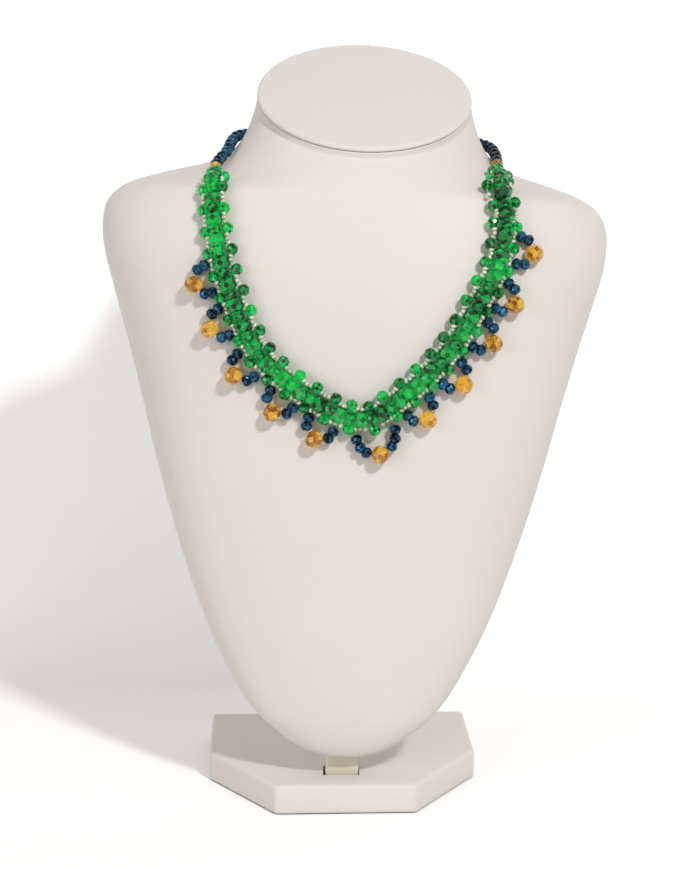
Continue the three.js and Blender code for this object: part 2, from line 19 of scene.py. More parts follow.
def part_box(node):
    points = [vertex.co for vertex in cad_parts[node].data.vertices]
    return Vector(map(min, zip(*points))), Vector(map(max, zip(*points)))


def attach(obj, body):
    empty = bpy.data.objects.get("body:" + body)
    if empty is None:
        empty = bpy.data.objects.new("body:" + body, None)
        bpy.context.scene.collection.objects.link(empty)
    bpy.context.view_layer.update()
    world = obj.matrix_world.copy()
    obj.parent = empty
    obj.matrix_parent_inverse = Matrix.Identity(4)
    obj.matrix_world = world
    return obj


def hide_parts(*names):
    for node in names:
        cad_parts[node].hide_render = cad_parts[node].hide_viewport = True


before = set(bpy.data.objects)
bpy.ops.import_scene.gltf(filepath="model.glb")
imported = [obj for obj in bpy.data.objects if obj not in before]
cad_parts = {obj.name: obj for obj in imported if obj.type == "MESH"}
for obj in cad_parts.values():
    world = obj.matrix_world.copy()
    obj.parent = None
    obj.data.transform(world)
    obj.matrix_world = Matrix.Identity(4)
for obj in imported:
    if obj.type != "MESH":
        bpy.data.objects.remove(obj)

log = logging.getLogger("bib_necklace")

MM = 0.001
BODY = "root"
WHITE = (1.0, 1.0, 1.0, 1.0)
ROUTE_LIFT = 3.6 * MM
STRING_SEEDS = {
    "woven_core_beads": 11,
    "woven_edge_beads": 12,
    "woven_centre_beads": 13,
    "woven_seed_beads": 14,
    "fringe_blue_beads": 21,
    "fringe_amber_beads": 22,
    "back_blue_rondelles": 31,
    "back_green_beads": 32,
    "back_amber_rondelles": 33,
    "back_silver_spacers": 34,
}


def linear(code: str) -> tuple[float, float, float, float]:
    """Turns a colour code into linear red, green, blue and alpha.

    Args:
        code: Six hexadecimal digits of an sRGB colour.

    Returns:
        The linear colour with an alpha of one.
    """
    parts = [int(code[at : at + 2], 16) / 255 for at in (0, 2, 4)]
    return (*(p / 12.92 if p <= 0.04045 else ((p + 0.055) / 1.055) ** 2.4 for p in parts), 1.0)


def mix(low: float, high: float, share: float) -> float:
    """Value at a share of the way between two others."""
    return low + (high - low) * share


class Section(NamedTuple):
    """One level section of the bust, as shares of its main sizes; full is the front's roundness."""

    height: float
    width: float
    front: float
    back: float
    setback: float
    full: float
    tilt: float
    shift: float


SECTIONS = (
    Section(0.0, 0.006, 0.012, 0.012, 1.0, 2.7, 0, 0),
    Section(0.0037, 0.084, 0.083, 0.063, 0.988, 2.7, 0, 0),
    Section(0.0163, 0.178, 0.156, 0.125, 0.964, 2.7, 0, 0),
    Section(0.0388, 0.264, 0.229, 0.188, 0.94, 2.7, 0, 0),
    Section(0.0695, 0.355, 0.302, 0.24, 0.905, 2.7, 0, 0),
    Section(0.1206, 0.447, 0.396, 0.302, 0.833, 2.7, 0, 0),
    Section(0.2145, 0.566, 0.521, 0.375, 0.726, 2.7, 0, 0),
    Section(0.3371, 0.68, 0.656, 0.458, 0.583, 2.7, 0, 0),
    Section(0.4516, 0.767, 0.771, 0.542, 0.464, 2.7, 0, 0),
    Section(0.5415, 0.828, 0.865, 0.604, 0.357, 2.7, 0, 0),
    Section(0.6355, 0.895, 0.948, 0.646, 0.25, 2.7, 0, 0),
    Section(0.7049, 0.948, 0.99, 0.677, 0.179, 2.7, 0, 0),
    Section(0.7662, 0.992, 1.0, 0.688, 0.119, 2.7, 0, 0),
    Section(0.8112, 1.0, 0.978, 0.698, 0.071, 2.7, 0, 0),
    Section(0.8439, 0.973, 0.938, 0.698, 0.048, 2.75, 0, 0),
    Section(0.8676, 0.893, 0.9135, 0.708, 0.024, 2.85, 0, 0.125),
    Section(0.8827, 0.765, 0.9105, 0.715, 0.012, 3, 0.106, 0.375),
    Section(0.8946, 0.639, 0.905, 0.721, 0.005, 3.15, 0.19, 0.625),
    Section(0.9076, 0.556, 0.8955, 0.729, 0, 3.1, 0.286, 0.833),
    Section(0.9256, 0.503, 0.877, 0.75, 0, 2.85, 0.42, 0.958),
    Section(0.9501, 0.465, 0.85, 0.771, 0, 2.55, 0.617, 1),
    Section(0.9767, 0.44, 0.814, 0.775, 0, 2.25, 0.826, 1),
    Section(1.0, 0.4256, 0.777, 0.777, 0, 2, 1, 1),
)


class SkinFrame(NamedTuple):
    """A point of the skin, its slopes round and up, and its outward normal."""

    point: Vector
    round: Vector
    up: Vector
    normal: Vector


@dataclass
class BustForm:
    """Shape of the padded bust as a point for each angle and height share."""

    tip_height: float = 18.6 * MM
    neck_top: float = 262.2 * MM
    half_width: float = 95.4 * MM
    chest_depth: float = 48 * MM
    neck_shift: float = 2.4 * MM
    neck_centre_y: float = 4 * MM
    tip_setback: float = 42 * MM
    lean_angle: float = 1.4
    shoulder_roll: float = 1.0
    neck_tilt: float = 27.2
    back_roundness: float = 2.6
    neck_roundness: float = 2.0
    turn_step: float = 0.05
    rise_step: float = 0.0004

    def lean(self) -> Matrix:
        """Turn that leans the bust and all that it wears over its base."""
        return Matrix.Rotation(math.radians(self.lean_angle), 3, "Y")

    def section(self, share: float) -> Section:
        """Reads the smooth curve through the sections.

        Args:
            share: Height as a share of the way from the tip to the neck's top.

        Returns:
            The section at that height.
        """
        last = len(SECTIONS) - 1
        height = min(max(share, 0.0), 1.0)
        index = 0
        while index < last - 1 and SECTIONS[index + 1].height <= height:
            index += 1
        below, above = SECTIONS[index], SECTIONS[index + 1]
        span = above.height - below.height
        t = (height - below.height) / span

        def slope(at: int, key: int) -> float:
            """Slope of one value at a section, from its two neighbours."""
            low, high = SECTIONS[max(at - 1, 0)], SECTIONS[min(at + 1, last)]
            return (high[key] - low[key]) / (high.height - low.height)

        values = [
            (2 * t**3 - 3 * t**2 + 1) * below[key]
            + (t**3 - 2 * t**2 + t) * span * slope(index, key)
            + (3 * t**2 - 2 * t**3) * above[key]
            + (t**3 - t**2) * span * slope(index + 1, key)
            for key in range(1, len(below))
        ]
        return Section(height, *values)

    def point(self, angle: float, share: float) -> Vector:
        """Finds a point of the skin before the lean.

        Args:
            angle: Degrees from the front towards +X.
            share: Height share.

        Returns:
            The point.
        """
        part = self.section(share)
        sine, cosine = math.sin(math.radians(angle)), math.cos(math.radians(angle))
        behind = mix(self.back_roundness, self.neck_roundness, part.shift)
        power = 2 / (part.full if cosine >= 0 else behind)
        depth = self.chest_depth * (part.front if cosine >= 0 else part.back)
        across = self.half_width * part.width * math.copysign(abs(sine) ** power, sine)
        along = -depth * math.copysign(abs(cosine) ** power, cosine)
        height = mix(self.tip_height, self.neck_top, share)
        tilt = math.tan(math.radians(self.neck_tilt * part.tilt))
        roll = math.tan(math.radians(self.shoulder_roll))
        return Vector(
            (
                across + self.neck_shift * part.shift,
                self.neck_centre_y - self.tip_setback * part.setback + along,
                height + along * tilt - across * roll,
            )
        )

    def frame(self, angle: float, share: float) -> SkinFrame:
        """Finds the skin's point, slopes and normal.

        Args:
            angle: Degrees from the front towards +X.
            share: Height share.

        Returns:
            The place on the skin and its directions.
        """
        turn, rise = self.turn_step, self.rise_step
        around = (self.point(angle + turn, share) - self.point(angle - turn, share)) / (2 * turn)
        up = (self.point(angle, share + rise) - self.point(angle, share - rise)) / (2 * rise)
        return SkinFrame(self.point(angle, share), around, up, around.cross(up).normalized())


class SmoothRun:
    """Centripetal curve through points, as a thread lies through its beads."""

    probe = 0.01
    least_gap = 1e-6

    def __init__(self, points: Sequence[Vector]) -> None:
        """Keeps the points that the curve runs through.

        Args:
            points: The points in order.
        """
        self.points = [Vector(point) for point in points]

    def at(self, place: float) -> Vector:
        """Finds a point of the curve.

        Args:
            place: Number of the point, with its fraction towards the next.

        Returns:
            The place on the curve.
        """
        last = len(self.points) - 1
        index = min(max(int(math.floor(place)), 0), last - 1)
        t = place - index
        p1, p2 = self.points[index], self.points[index + 1]
        p0 = self.points[index - 1] if index > 0 else 2 * p1 - p2
        p3 = self.points[index + 2] if index + 2 <= last else 2 * p2 - p1
        pairs = ((p0, p1), (p1, p2), (p2, p3))
        d0, d1, d2 = (max((b - a).length ** 0.5, self.least_gap) for a, b in pairs)
        start = ((p1 - p0) / d0 - (p2 - p0) / (d0 + d1) + (p2 - p1) / d1) * d1
        end = ((p2 - p1) / d1 - (p3 - p1) / (d1 + d2) + (p3 - p2) / d2) * d1
        return (
            p1
            + start * t
            + (3 * (p2 - p1) - 2 * start - end) * t**2
            + (2 * (p1 - p2) + start + end) * t**3
        )

    def heading(self, place: float) -> Vector:
        """Finds the direction of the curve.

        Args:
            place: Number of the point, with its fraction towards the next.

        Returns:
            The direction, of unit length.
        """
        low = max(place - self.probe, 0)
        high = min(place + self.probe, len(self.points) - 1)
        return (self.at(high) - self.at(low)).normalized()

    def steps(self, each: int) -> list[Vector]:
        """Points along the whole curve, so many from each point to the next."""
        count = (len(self.points) - 1) * each
        return [self.at(number / each) for number in range(count + 1)]


class Seat(NamedTuple):
    """Place of a bead on the bust, with directions along, across and off the skin."""

    point: Vector
    tangent: Vector
    outward: Vector
    normal: Vector


NECKLACE_ROUTE = (
    (2.4, 0.5446),
    (5.2, 0.5629),
    (12, 0.6085),
    (18.1, 0.6631),
    (22.3, 0.7228),
    (25.6, 0.7764),
    (27.4, 0.8306),
    (30, 0.8693),
    (48.6, 0.8951),
    (65.6, 0.909),
    (82.5, 0.9215),
    (98, 0.9265),
    (120, 0.9255),
    (150, 0.92),
    (180, 0.917),
    (210, 0.919),
    (240, 0.925),
    (259, 0.9275),
    (273.9, 0.921),
    (280.8, 0.9099),
    (292.5, 0.9019),
    (307.4, 0.8951),
    (322.6, 0.8837),
    (333.1, 0.8548),
    (335.7, 0.8053),
    (337.4, 0.7483),
    (339.9, 0.6881),
    (343.7, 0.6328),
    (350.3, 0.5917),
    (357.1, 0.5582),
    (359.9, 0.5451),
    (362.4, 0.5446),
)


@dataclass
class NecklaceRoute:
    """Middle line of the necklace on the bust, once round from the point of the V."""

    form: BustForm
    lift: float
    share_scale: float = 100.0
    steps: int = 1400
    probe: float = 0.6 * MM
    stations: list[tuple[float, float, float]] = field(default_factory=list)

    def __post_init__(self) -> None:
        """Walks the route once and keeps its angle, height share and length at each step."""
        turns = [Vector((angle, share * self.share_scale, 0)) for angle, share in NECKLACE_ROUTE]
        turn = Vector((360, 0, 0))
        run = SmoothRun([turns[-2] - turn, *turns, turns[1] + turn])
        length, before = 0.0, None
        for step in range(self.steps + 1):
            at = run.at(1 + step / self.steps * (len(turns) - 1))
            spot = self.form.frame(at.x, at.y / self.share_scale)
            point = spot.point + spot.normal * self.lift
            length += (point - before).length if before else 0.0
            before = point
            self.stations.append((length, at.x, at.y / self.share_scale))

    @property
    def length(self) -> float:
        """Length of the whole loop."""
        return self.stations[-1][0]

    def at(self, along: float) -> tuple[float, float]:
        """Finds a place of the route.

        Args:
            along: Length along the route; negative runs down the left arm.

        Returns:
            The angle and the height share.
        """
        length = along + self.length if along < 0 else along
        low, high = 0, self.steps
        while high - low > 1:
            middle = (low + high) // 2
            low, high = (middle, high) if self.stations[middle][0] <= length else (low, middle)
        before, after = self.stations[low], self.stations[high]
        t = (length - before[0]) / (after[0] - before[0])
        return mix(before[1], after[1], t), mix(before[2], after[2], t)

    def seat(self, along: float, across: float, lift: float) -> Seat:
        """Places a bead on the skin.

        Args:
            along: Length along the route from the point of the V.
            across: Distance outwards from the middle line.
            lift: Height of the bead's middle off the skin.

        Returns:
            The place and its directions, with the bust's lean.
        """
        angle, share = self.at(along)
        spot = self.form.frame(angle, share)
        ahead, behind = self.at(along + self.probe), self.at(along - self.probe)
        tangent = (self.form.point(*ahead) - self.form.point(*behind)).normalized()
        outward = tangent.cross(spot.normal).normalized()
        e, f, g = spot.round.dot(spot.round), spot.round.dot(spot.up), spot.up.dot(spot.up)
        p, q = spot.round.dot(outward) * across, spot.up.dot(outward) * across
        spread = e * g - f * f
        moved = self.form.frame(angle + (g * p - f * q) / spread, share + (e * q - f * p) / spread)
        lean = self.form.lean()
        point = moved.point + moved.normal * lift
        return Seat(*(lean @ way for way in (point, tangent, outward, moved.normal)))


def mesh_from(name: str, shape: bmesh.types.BMesh) -> bpy.types.Mesh:
    """Turns a finished shape into a mesh and frees the shape.

    Args:
        name: Name of the mesh.
        shape: The finished shape.

    Returns:
        The new mesh.
    """
    mesh = bpy.data.meshes.new(name)
    shape.to_mesh(mesh)
    shape.free()
    return mesh


class BeadCut(Enum):
    """Named cuts of the beads."""

    FIRE_POLISHED = "fire_polished"
    RONDELLE = "rondelle"
    SEED = "seed"


@dataclass(frozen=True)
class BeadPattern:
    """Bead of unit width and length along Z, drilled through, that the strings repeat."""

    cut: BeadCut
    sides: int = 8
    bore: float = 0.12
    swell: float = 1.04
    seed: int = 5
    turned_rings: tuple[int, ...] = (2, 4)
    ring_turn: float = 0.5
    half_length: float = 0.5

    def _rings(self) -> list[tuple[float, float]]:
        """Lists the rings of the cut's outline.

        Returns:
            Radius and height of each ring, from one end to the other.
        """
        if self.cut is BeadCut.FIRE_POLISHED:
            upper = [(0.2, 0.5), (0.35, 0.41), (0.465, 0.2)]
        elif self.cut is BeadCut.RONDELLE:
            upper = [(0.26, 0.5), (0.38, 0.38), (0.475, 0.15)]
        else:
            upper = [(0.24, 0.5), (0.41, 0.4), (0.48, 0.18)]
        return [*upper, (0.5, 0.0), *[(radius, -height) for radius, height in reversed(upper)]]

    def mesh(self) -> bpy.types.Mesh:
        """Makes the bead's mesh.

        Returns:
            A closed mesh: flat rhombic facets, or smooth rings for a seed bead.
        """
        shape = bmesh.new()
        turned = self.cut is not BeadCut.SEED
        rings = []
        for number, (radius, height) in enumerate(self._rings()):
            offset = self.ring_turn if turned and number in self.turned_rings else 0.0
            rings.append(self._ring(shape, radius, height, offset))
        ends = (self.half_length, -self.half_length)
        bores = [self._ring(shape, self.bore, height, 0.0) for height in ends]
        count = self.sides
        for side in range(count):
            after = (side + 1) % count
            if turned:
                a, b, c, d, e, f, g = rings
                before = (side - 1) % count
                shape.faces.new((b[side], c[before], d[side], c[side]))
                shape.faces.new((c[side], d[side], e[side], d[after]))
                shape.faces.new((d[side], e[before], f[side], e[side]))
                shape.faces.new((b[side], c[side], b[after]))
                shape.faces.new((f[side], f[after], e[side]))
                shape.faces.new((a[side], b[side], b[after], a[after]))
                shape.faces.new((f[side], g[side], g[after], f[after]))
            else:
                for upper, lower in zip(rings, rings[1:]):
                    shape.faces.new((upper[side], lower[side], lower[after], upper[after]))
            top, bottom = rings[0], rings[-1]
            shape.faces.new((bores[0][side], top[side], top[after], bores[0][after]))
            shape.faces.new((bottom[side], bores[1][side], bores[1][after], bottom[after]))
            shape.faces.new((bores[1][side], bores[0][side], bores[0][after], bores[1][after]))
        bmesh.ops.recalc_face_normals(shape, faces=shape.faces)
        mesh = mesh_from(f"bead_{self.cut.value}", shape)
        if turned:
            mesh.shade_flat()
        else:
            mesh.shade_smooth()
        # Each face keeps a random share of painted light and shade, so that its facet comes out brighter
        # or darker.
        chance = Random(self.seed)
        facet_shading = mesh.attributes.new("facet_tone", "FLOAT", "FACE")
        facet_shading.data.foreach_set("value", [chance.random() for _ in mesh.polygons])
        return mesh

    def _ring(
        self, shape: bmesh.types.BMesh, radius: float, height: float, offset: float
    ) -> list[bmesh.types.BMVert]:
        """Adds one ring of corners.

        Args:
            shape: Mesh that takes the corners.
            radius: Radius of the ring before the swell.
            height: Height of the ring along the bead.
            offset: Turn of the ring as a share of a side.

        Returns:
            The corners in order.
        """
        corners = []
        for side in range(self.sides):
            turn = 2 * math.pi * (side + offset) / self.sides
            reach = radius * self.swell
            spot = (reach * math.cos(turn), reach * math.sin(turn), height)
            corners.append(shape.verts.new(spot))
        return corners


def add_object(name: str, mesh: bpy.types.Mesh) -> bpy.types.Object:
    """Links a mesh into the scene as an object at the origin.

    Args:
        name: Name of the object.
        mesh: Its mesh.

    Returns:
        The new object.
    """
    made = bpy.data.objects.new(name, mesh)
    bpy.context.scene.collection.objects.link(made)
    return made


def settle(piece: bpy.types.Object, replaced: Iterable[str] = ()) -> bpy.types.Object:
    """Hands a finished piece to the frame.

    Args:
        piece: The finished object at the origin.
        replaced: Names of the solids that it stands for.

    Returns:
        The same piece.
    """
    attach(piece, BODY)
    names = list(replaced)
    if names:
        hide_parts(*names)
    count = sum(len(face.vertices) - 2 for face in piece.data.polygons)
    log.info("%s: %d triangles, stands for %d solids", piece.name, count, len(names))
    return piece


def flatten(piece: bpy.types.Object) -> bpy.types.Object:
    """Turns a piece's evaluated shape into its own plain mesh without modifiers.

    Args:
        piece: Object with its modifiers.

    Returns:
        The same piece with its new mesh.
    """
    bpy.context.view_layer.update()
    graph = bpy.context.evaluated_depsgraph_get()
    made = bpy.data.meshes.new_from_object(piece.evaluated_get(graph), depsgraph=graph)
    old = piece.data
    piece.modifiers.clear()
    piece.data = made
    made.name = piece.name
    bpy.data.meshes.remove(old)
    return piece


class NodeTree:
    """Node tree with named sockets that is built up node by node."""

    def __init__(self, name: str, kind: str) -> None:
        """Makes an empty tree with its input and output nodes.

        Args:
            name: Name of the tree.
            kind: Kind of tree, such as ShaderNodeTree.
        """
        self.tree = bpy.data.node_groups.new(name, kind)
        self.inputs = self.tree.nodes.new("NodeGroupInput")
        self.result = self.tree.nodes.new("NodeGroupOutput")

    def sockets(self, way: str, **kinds: str) -> None:
        """Adds named sockets in order.

        Args:
            way: INPUT or OUTPUT.
            kinds: Kind of each socket by its name, such as Float.
        """
        for name, kind in kinds.items():
            self.tree.interface.new_socket(name, in_out=way, socket_type=f"NodeSocket{kind}")

    def node(self, kind: str, **settings: object) -> bpy.types.Node:
        """Adds a node.

        Args:
            kind: Kind of the node.
            settings: Its options.

        Returns:
            The new node.
        """
        made = self.tree.nodes.new(kind)
        for key, value in settings.items():
            setattr(made, key, value)
        return made

    def link(self, source: bpy.types.NodeSocket, target: bpy.types.NodeSocket) -> None:
        """Joins two sockets."""
        self.tree.links.new(source, target)


class NodeRecipe(NodeTree):
    """Geometry node tree with named inputs that can be laid over a piece."""

    def __init__(self, name: str) -> None:
        """Makes an empty tree with its geometry sockets.

        Args:
            name: Name of the tree.
        """
        super().__init__(name, "GeometryNodeTree")
        self.sockets("OUTPUT", Geometry="Geometry")
        self.sockets("INPUT", Geometry="Geometry")

    def lay_over(self, piece: bpy.types.Object, values: dict[str, object]) -> bpy.types.Object:
        """Runs the tree on a piece and keeps the result as its plain mesh.

        Args:
            piece: Object whose mesh the tree reads.
            values: Value of each named input.

        Returns:
            The same piece with its new mesh.
        """
        layer = piece.modifiers.new(self.tree.name, "NODES")
        layer.node_group = self.tree
        for item in self.tree.interface.items_tree:
            if item.item_type == "SOCKET" and item.in_out == "INPUT" and item.name in values:
                layer[item.identifier] = values[item.name]
        return flatten(piece)


class BeadStringer(NodeRecipe):
    """Sets a bead on every point, turned to its thread and to the skin, with its own tone."""

    def __init__(self) -> None:
        """Builds the tree."""
        super().__init__("bead_stringer")
        self.sockets("INPUT", Bead="Object", Finish="Material", Spin="Float", Seed="Int")
        bead = self.node("GeometryNodeObjectInfo", transform_space="ORIGINAL")
        self.link(self.inputs.outputs["Bead"], bead.inputs["Object"])
        along = self.node("FunctionNodeAlignRotationToVector", axis="Z")
        off_skin = self.node("FunctionNodeAlignRotationToVector", axis="X", pivot_axis="Z")
        self.link(self._stored("bead_axis"), along.inputs["Vector"])
        self.link(along.outputs["Rotation"], off_skin.inputs["Rotation"])
        self.link(self._stored("bead_lift"), off_skin.inputs["Vector"])
        chance = self.node("FunctionNodeRandomValue", data_type="FLOAT")
        self.link(self.inputs.outputs["Seed"], chance.inputs["Seed"])
        self.link(self.inputs.outputs["Spin"], chance.inputs[3])
        turn = self.node("ShaderNodeCombineXYZ")
        self.link(chance.outputs[1], turn.inputs["Z"])
        spin = self.node("FunctionNodeRotateRotation", rotation_space="LOCAL")
        self.link(off_skin.outputs["Rotation"], spin.inputs["Rotation"])
        self.link(turn.outputs["Vector"], spin.inputs["Rotate By"])
        place = self.node("GeometryNodeInstanceOnPoints")
        self.link(self.inputs.outputs["Geometry"], place.inputs["Points"])
        self.link(bead.outputs["Geometry"], place.inputs["Instance"])
        self.link(spin.outputs["Rotation"], place.inputs["Rotation"])
        self.link(self._stored("bead_size"), place.inputs["Scale"])
        tone = self.node("GeometryNodeStoreNamedAttribute", data_type="FLOAT", domain="INSTANCE")
        tone.inputs["Name"].default_value = "bead_tone"
        shade = self.node("FunctionNodeRandomValue", data_type="FLOAT")
        self.link(self.inputs.outputs["Seed"], shade.inputs["Seed"])
        self.link(place.outputs["Instances"], tone.inputs["Geometry"])
        self.link(shade.outputs[1], tone.inputs["Value"])
        real = self.node("GeometryNodeRealizeInstances")
        self.link(tone.outputs["Geometry"], real.inputs["Geometry"])
        finish = self.node("GeometryNodeSetMaterial")
        self.link(real.outputs["Geometry"], finish.inputs["Geometry"])
        self.link(self.inputs.outputs["Finish"], finish.inputs["Material"])
        self.link(finish.outputs["Geometry"], self.result.inputs["Geometry"])

    def _stored(self, name: str) -> bpy.types.NodeSocket:
        """Adds a node that reads a vector kept on the points.

        Args:
            name: Name of the kept vector.

        Returns:
            The node's output.
        """
        reader = self.node("GeometryNodeInputNamedAttribute", data_type="FLOAT_VECTOR")
        reader.inputs["Name"].default_value = name
        return reader.outputs["Attribute"]


class ThreadSpinner(NodeRecipe):
    """Turns open lines of corners into round threads."""

    def __init__(self) -> None:
        """Builds the tree."""
        super().__init__("thread_spinner")
        self.sockets("INPUT", Radius="Float", Sides="Int", Finish="Material")
        line = self.node("GeometryNodeMeshToCurve")
        ring = self.node("GeometryNodeCurvePrimitiveCircle")
        tube = self.node("GeometryNodeCurveToMesh")
        tube.inputs["Fill Caps"].default_value = True
        real = self.node("GeometryNodeRealizeInstances")
        finish = self.node("GeometryNodeSetMaterial")
        self.link(self.inputs.outputs["Geometry"], line.inputs["Mesh"])
        self.link(self.inputs.outputs["Radius"], ring.inputs["Radius"])
        self.link(self.inputs.outputs["Sides"], ring.inputs["Resolution"])
        self.link(line.outputs["Curve"], tube.inputs["Curve"])
        self.link(ring.outputs["Curve"], tube.inputs["Profile Curve"])
        self.link(tube.outputs["Mesh"], real.inputs["Geometry"])
        self.link(real.outputs["Geometry"], finish.inputs["Geometry"])
        self.link(self.inputs.outputs["Finish"], finish.inputs["Material"])
        self.link(finish.outputs["Geometry"], self.result.inputs["Geometry"])


class Bead(NamedTuple):
    """Where one bead goes: its middle, thread direction, skin direction and size."""

    point: Vector
    axis: Vector
    lift: Vector
    diameter: float
    length: float


@dataclass
class BeadBench:
    """The two tools that every string shares, and the bead shapes that they repeat."""

    stringer: BeadStringer = field(default_factory=BeadStringer)
    spinner: ThreadSpinner = field(default_factory=ThreadSpinner)
    patterns: dict[BeadCut, bpy.types.Object] = field(default_factory=dict)
    facet_sides: int = 8
    seed_sides: int = 10
    thread_sides: int = 6
    full_turn: float = 2 * math.pi

    def pattern(self, cut: BeadCut) -> bpy.types.Object:
        """Finds the pattern bead of a cut, which is made once.

        Args:
            cut: Cut of the bead.

        Returns:
            The pattern's object.
        """
        if cut not in self.patterns:
            sides = self.seed_sides if cut is BeadCut.SEED else self.facet_sides
            mesh = BeadPattern(cut, sides).mesh()
            self.patterns[cut] = add_object(mesh.name, mesh)
        return self.patterns[cut]

    def string(
        self,
        name: str,
        beads: Sequence[Bead],
        cut: BeadCut,
        finish: bpy.types.Material,
    ) -> bpy.types.Object:
        """Sets a bead of one cut and finish at each place.

        Args:
            name: Name of the piece, which also gives the seed of its random turns and tones.
            beads: The places.
            cut: Cut of the beads.
            finish: Their material.

        Returns:
            One joined piece.
        """
        mesh = bpy.data.meshes.new(name)
        mesh.from_pydata([bead.point for bead in beads], [], [])
        for key, values in (
            ("bead_axis", [bead.axis for bead in beads]),
            ("bead_lift", [bead.lift for bead in beads]),
            ("bead_size", [(bead.diameter, bead.diameter, bead.length) for bead in beads]),
        ):
            kept = mesh.attributes.new(key, "FLOAT_VECTOR", "POINT")
            kept.data.foreach_set("vector", [part for value in values for part in value])
        values = {
            "Bead": self.pattern(cut),
            "Finish": finish,
            "Spin": self.full_turn,
            "Seed": STRING_SEEDS[name],
        }
        piece = self.stringer.lay_over(add_object(name, mesh), values)
        for key in ("bead_axis", "bead_lift", "bead_size"):
            if key in piece.data.attributes:
                piece.data.attributes.remove(piece.data.attributes[key])
        return piece

    def threads(
        self,
        name: str,
        lines: Sequence[Sequence[Vector]],
        diameter: float,
        finish: bpy.types.Material,
    ) -> bpy.types.Object:
        """Spins a thread along each line.

        Args:
            name: Name of the piece.
            lines: Corners of each line.
            diameter: Width of the thread.
            finish: Its material.

        Returns:
            One joined piece.
        """
        corners, edges = [], []
        for line in lines:
            first = len(corners)
            corners.extend(line)
            edges.extend((at, at + 1) for at in range(first, len(corners) - 1))
        mesh = bpy.data.meshes.new(name)
        mesh.from_pydata(corners, edges, [])
        values = {"Radius": diameter / 2, "Sides": self.thread_sides, "Finish": finish}
        piece = self.spinner.lay_over(add_object(name, mesh), values)
        piece.data.shade_smooth()
        return piece

    def put_away(self) -> None:
        """Removes the pattern beads once every string is made."""
        for pattern in self.patterns.values():
            bpy.data.meshes.remove(pattern.data)
        self.patterns.clear()


class ShaderGroup(NodeTree):
    """Shader node group with named inputs and outputs, for effects that several finishes share."""

    def __init__(self, name: str) -> None:
        """Makes an empty group."""
        super().__init__(name, "ShaderNodeTree")


class GrainGroup(ShaderGroup):
    """Fine pebbled grain: a height for bumps and a slow cloud for the colour."""

    fine_detail = 3.0
    cloud_detail = 2.0

    def __init__(self) -> None:
        """Builds the group on object coordinates."""
        super().__init__("pebbled_grain")
        self.sockets("INPUT", Cells="Float", Clouds="Float")
        self.sockets("OUTPUT", Height="Float", Cloud="Float")
        place = self.node("ShaderNodeTexCoord")
        cells = self.node("ShaderNodeTexVoronoi", feature="SMOOTH_F1")
        fine = self.node("ShaderNodeTexNoise")
        fine.inputs["Detail"].default_value = self.fine_detail
        cloud = self.node("ShaderNodeTexNoise")
        cloud.inputs["Detail"].default_value = self.cloud_detail
        total = self.node("ShaderNodeMath", operation="ADD")
        for texture in (cells, fine, cloud):
            self.link(place.outputs["Object"], texture.inputs["Vector"])
        self.link(self.inputs.outputs["Cells"], cells.inputs["Scale"])
        self.link(self.inputs.outputs["Cells"], fine.inputs["Scale"])
        self.link(self.inputs.outputs["Clouds"], cloud.inputs["Scale"])
        self.link(cells.outputs["Distance"], total.inputs[0])
        self.link(fine.outputs["Fac"], total.inputs[1])
        self.link(total.outputs["Value"], self.result.inputs["Height"])
        self.link(cloud.outputs["Fac"], self.result.inputs["Cloud"])


class BeadToneGroup(ShaderGroup):
    """Colour of a bead between a deep and a bright tone, with streaks inside the glass; the facets' share
    between the two is painted light and shade.
    """

    streak_detail = 1.0
    bead_share = 0.5
    tone_low = 0.9
    tone_high = 1.6

    def __init__(self) -> None:
        """Builds the group on each bead's kept tone and each facet's painted light and shade."""
        super().__init__("bead_tone")
        self.sockets("INPUT", Deep="Color", Bright="Color", Streaks="Float")
        self.sockets("OUTPUT", Colour="Color")
        tone = self.node("ShaderNodeAttribute", attribute_name="bead_tone")
        facet = self.node("ShaderNodeAttribute", attribute_name="facet_tone")
        place = self.node("ShaderNodeTexCoord")
        streak = self.node("ShaderNodeTexNoise")
        streak.inputs["Detail"].default_value = self.streak_detail
        share = self.node("ShaderNodeMapRange")
        share.inputs["From Min"].default_value = self.tone_low
        share.inputs["From Max"].default_value = self.tone_high
        own = self.node("ShaderNodeMath", operation="MULTIPLY_ADD")
        own.inputs[1].default_value = self.bead_share
        total = self.node("ShaderNodeMath", operation="ADD")
        blend = self.node("ShaderNodeMix", data_type="RGBA")
        self.link(place.outputs["Object"], streak.inputs["Vector"])
        self.link(self.inputs.outputs["Streaks"], streak.inputs["Scale"])
        self.link(tone.outputs["Fac"], own.inputs[0])
        self.link(facet.outputs["Fac"], own.inputs[2])
        self.link(own.outputs["Value"], total.inputs[0])
        self.link(streak.outputs["Fac"], total.inputs[1])
        self.link(total.outputs["Value"], share.inputs["Value"])
        self.link(share.outputs["Result"], blend.inputs["Factor"])
        self.link(self.inputs.outputs["Deep"], blend.inputs["A"])
        self.link(self.inputs.outputs["Bright"], blend.inputs["B"])
        self.link(blend.outputs["Result"], self.result.inputs["Colour"])


@dataclass
class FinishKit:
    """Shared shader groups that the finishes place in their materials."""

    grain: GrainGroup = field(default_factory=GrainGroup)
    bead_tone: BeadToneGroup = field(default_factory=BeadToneGroup)


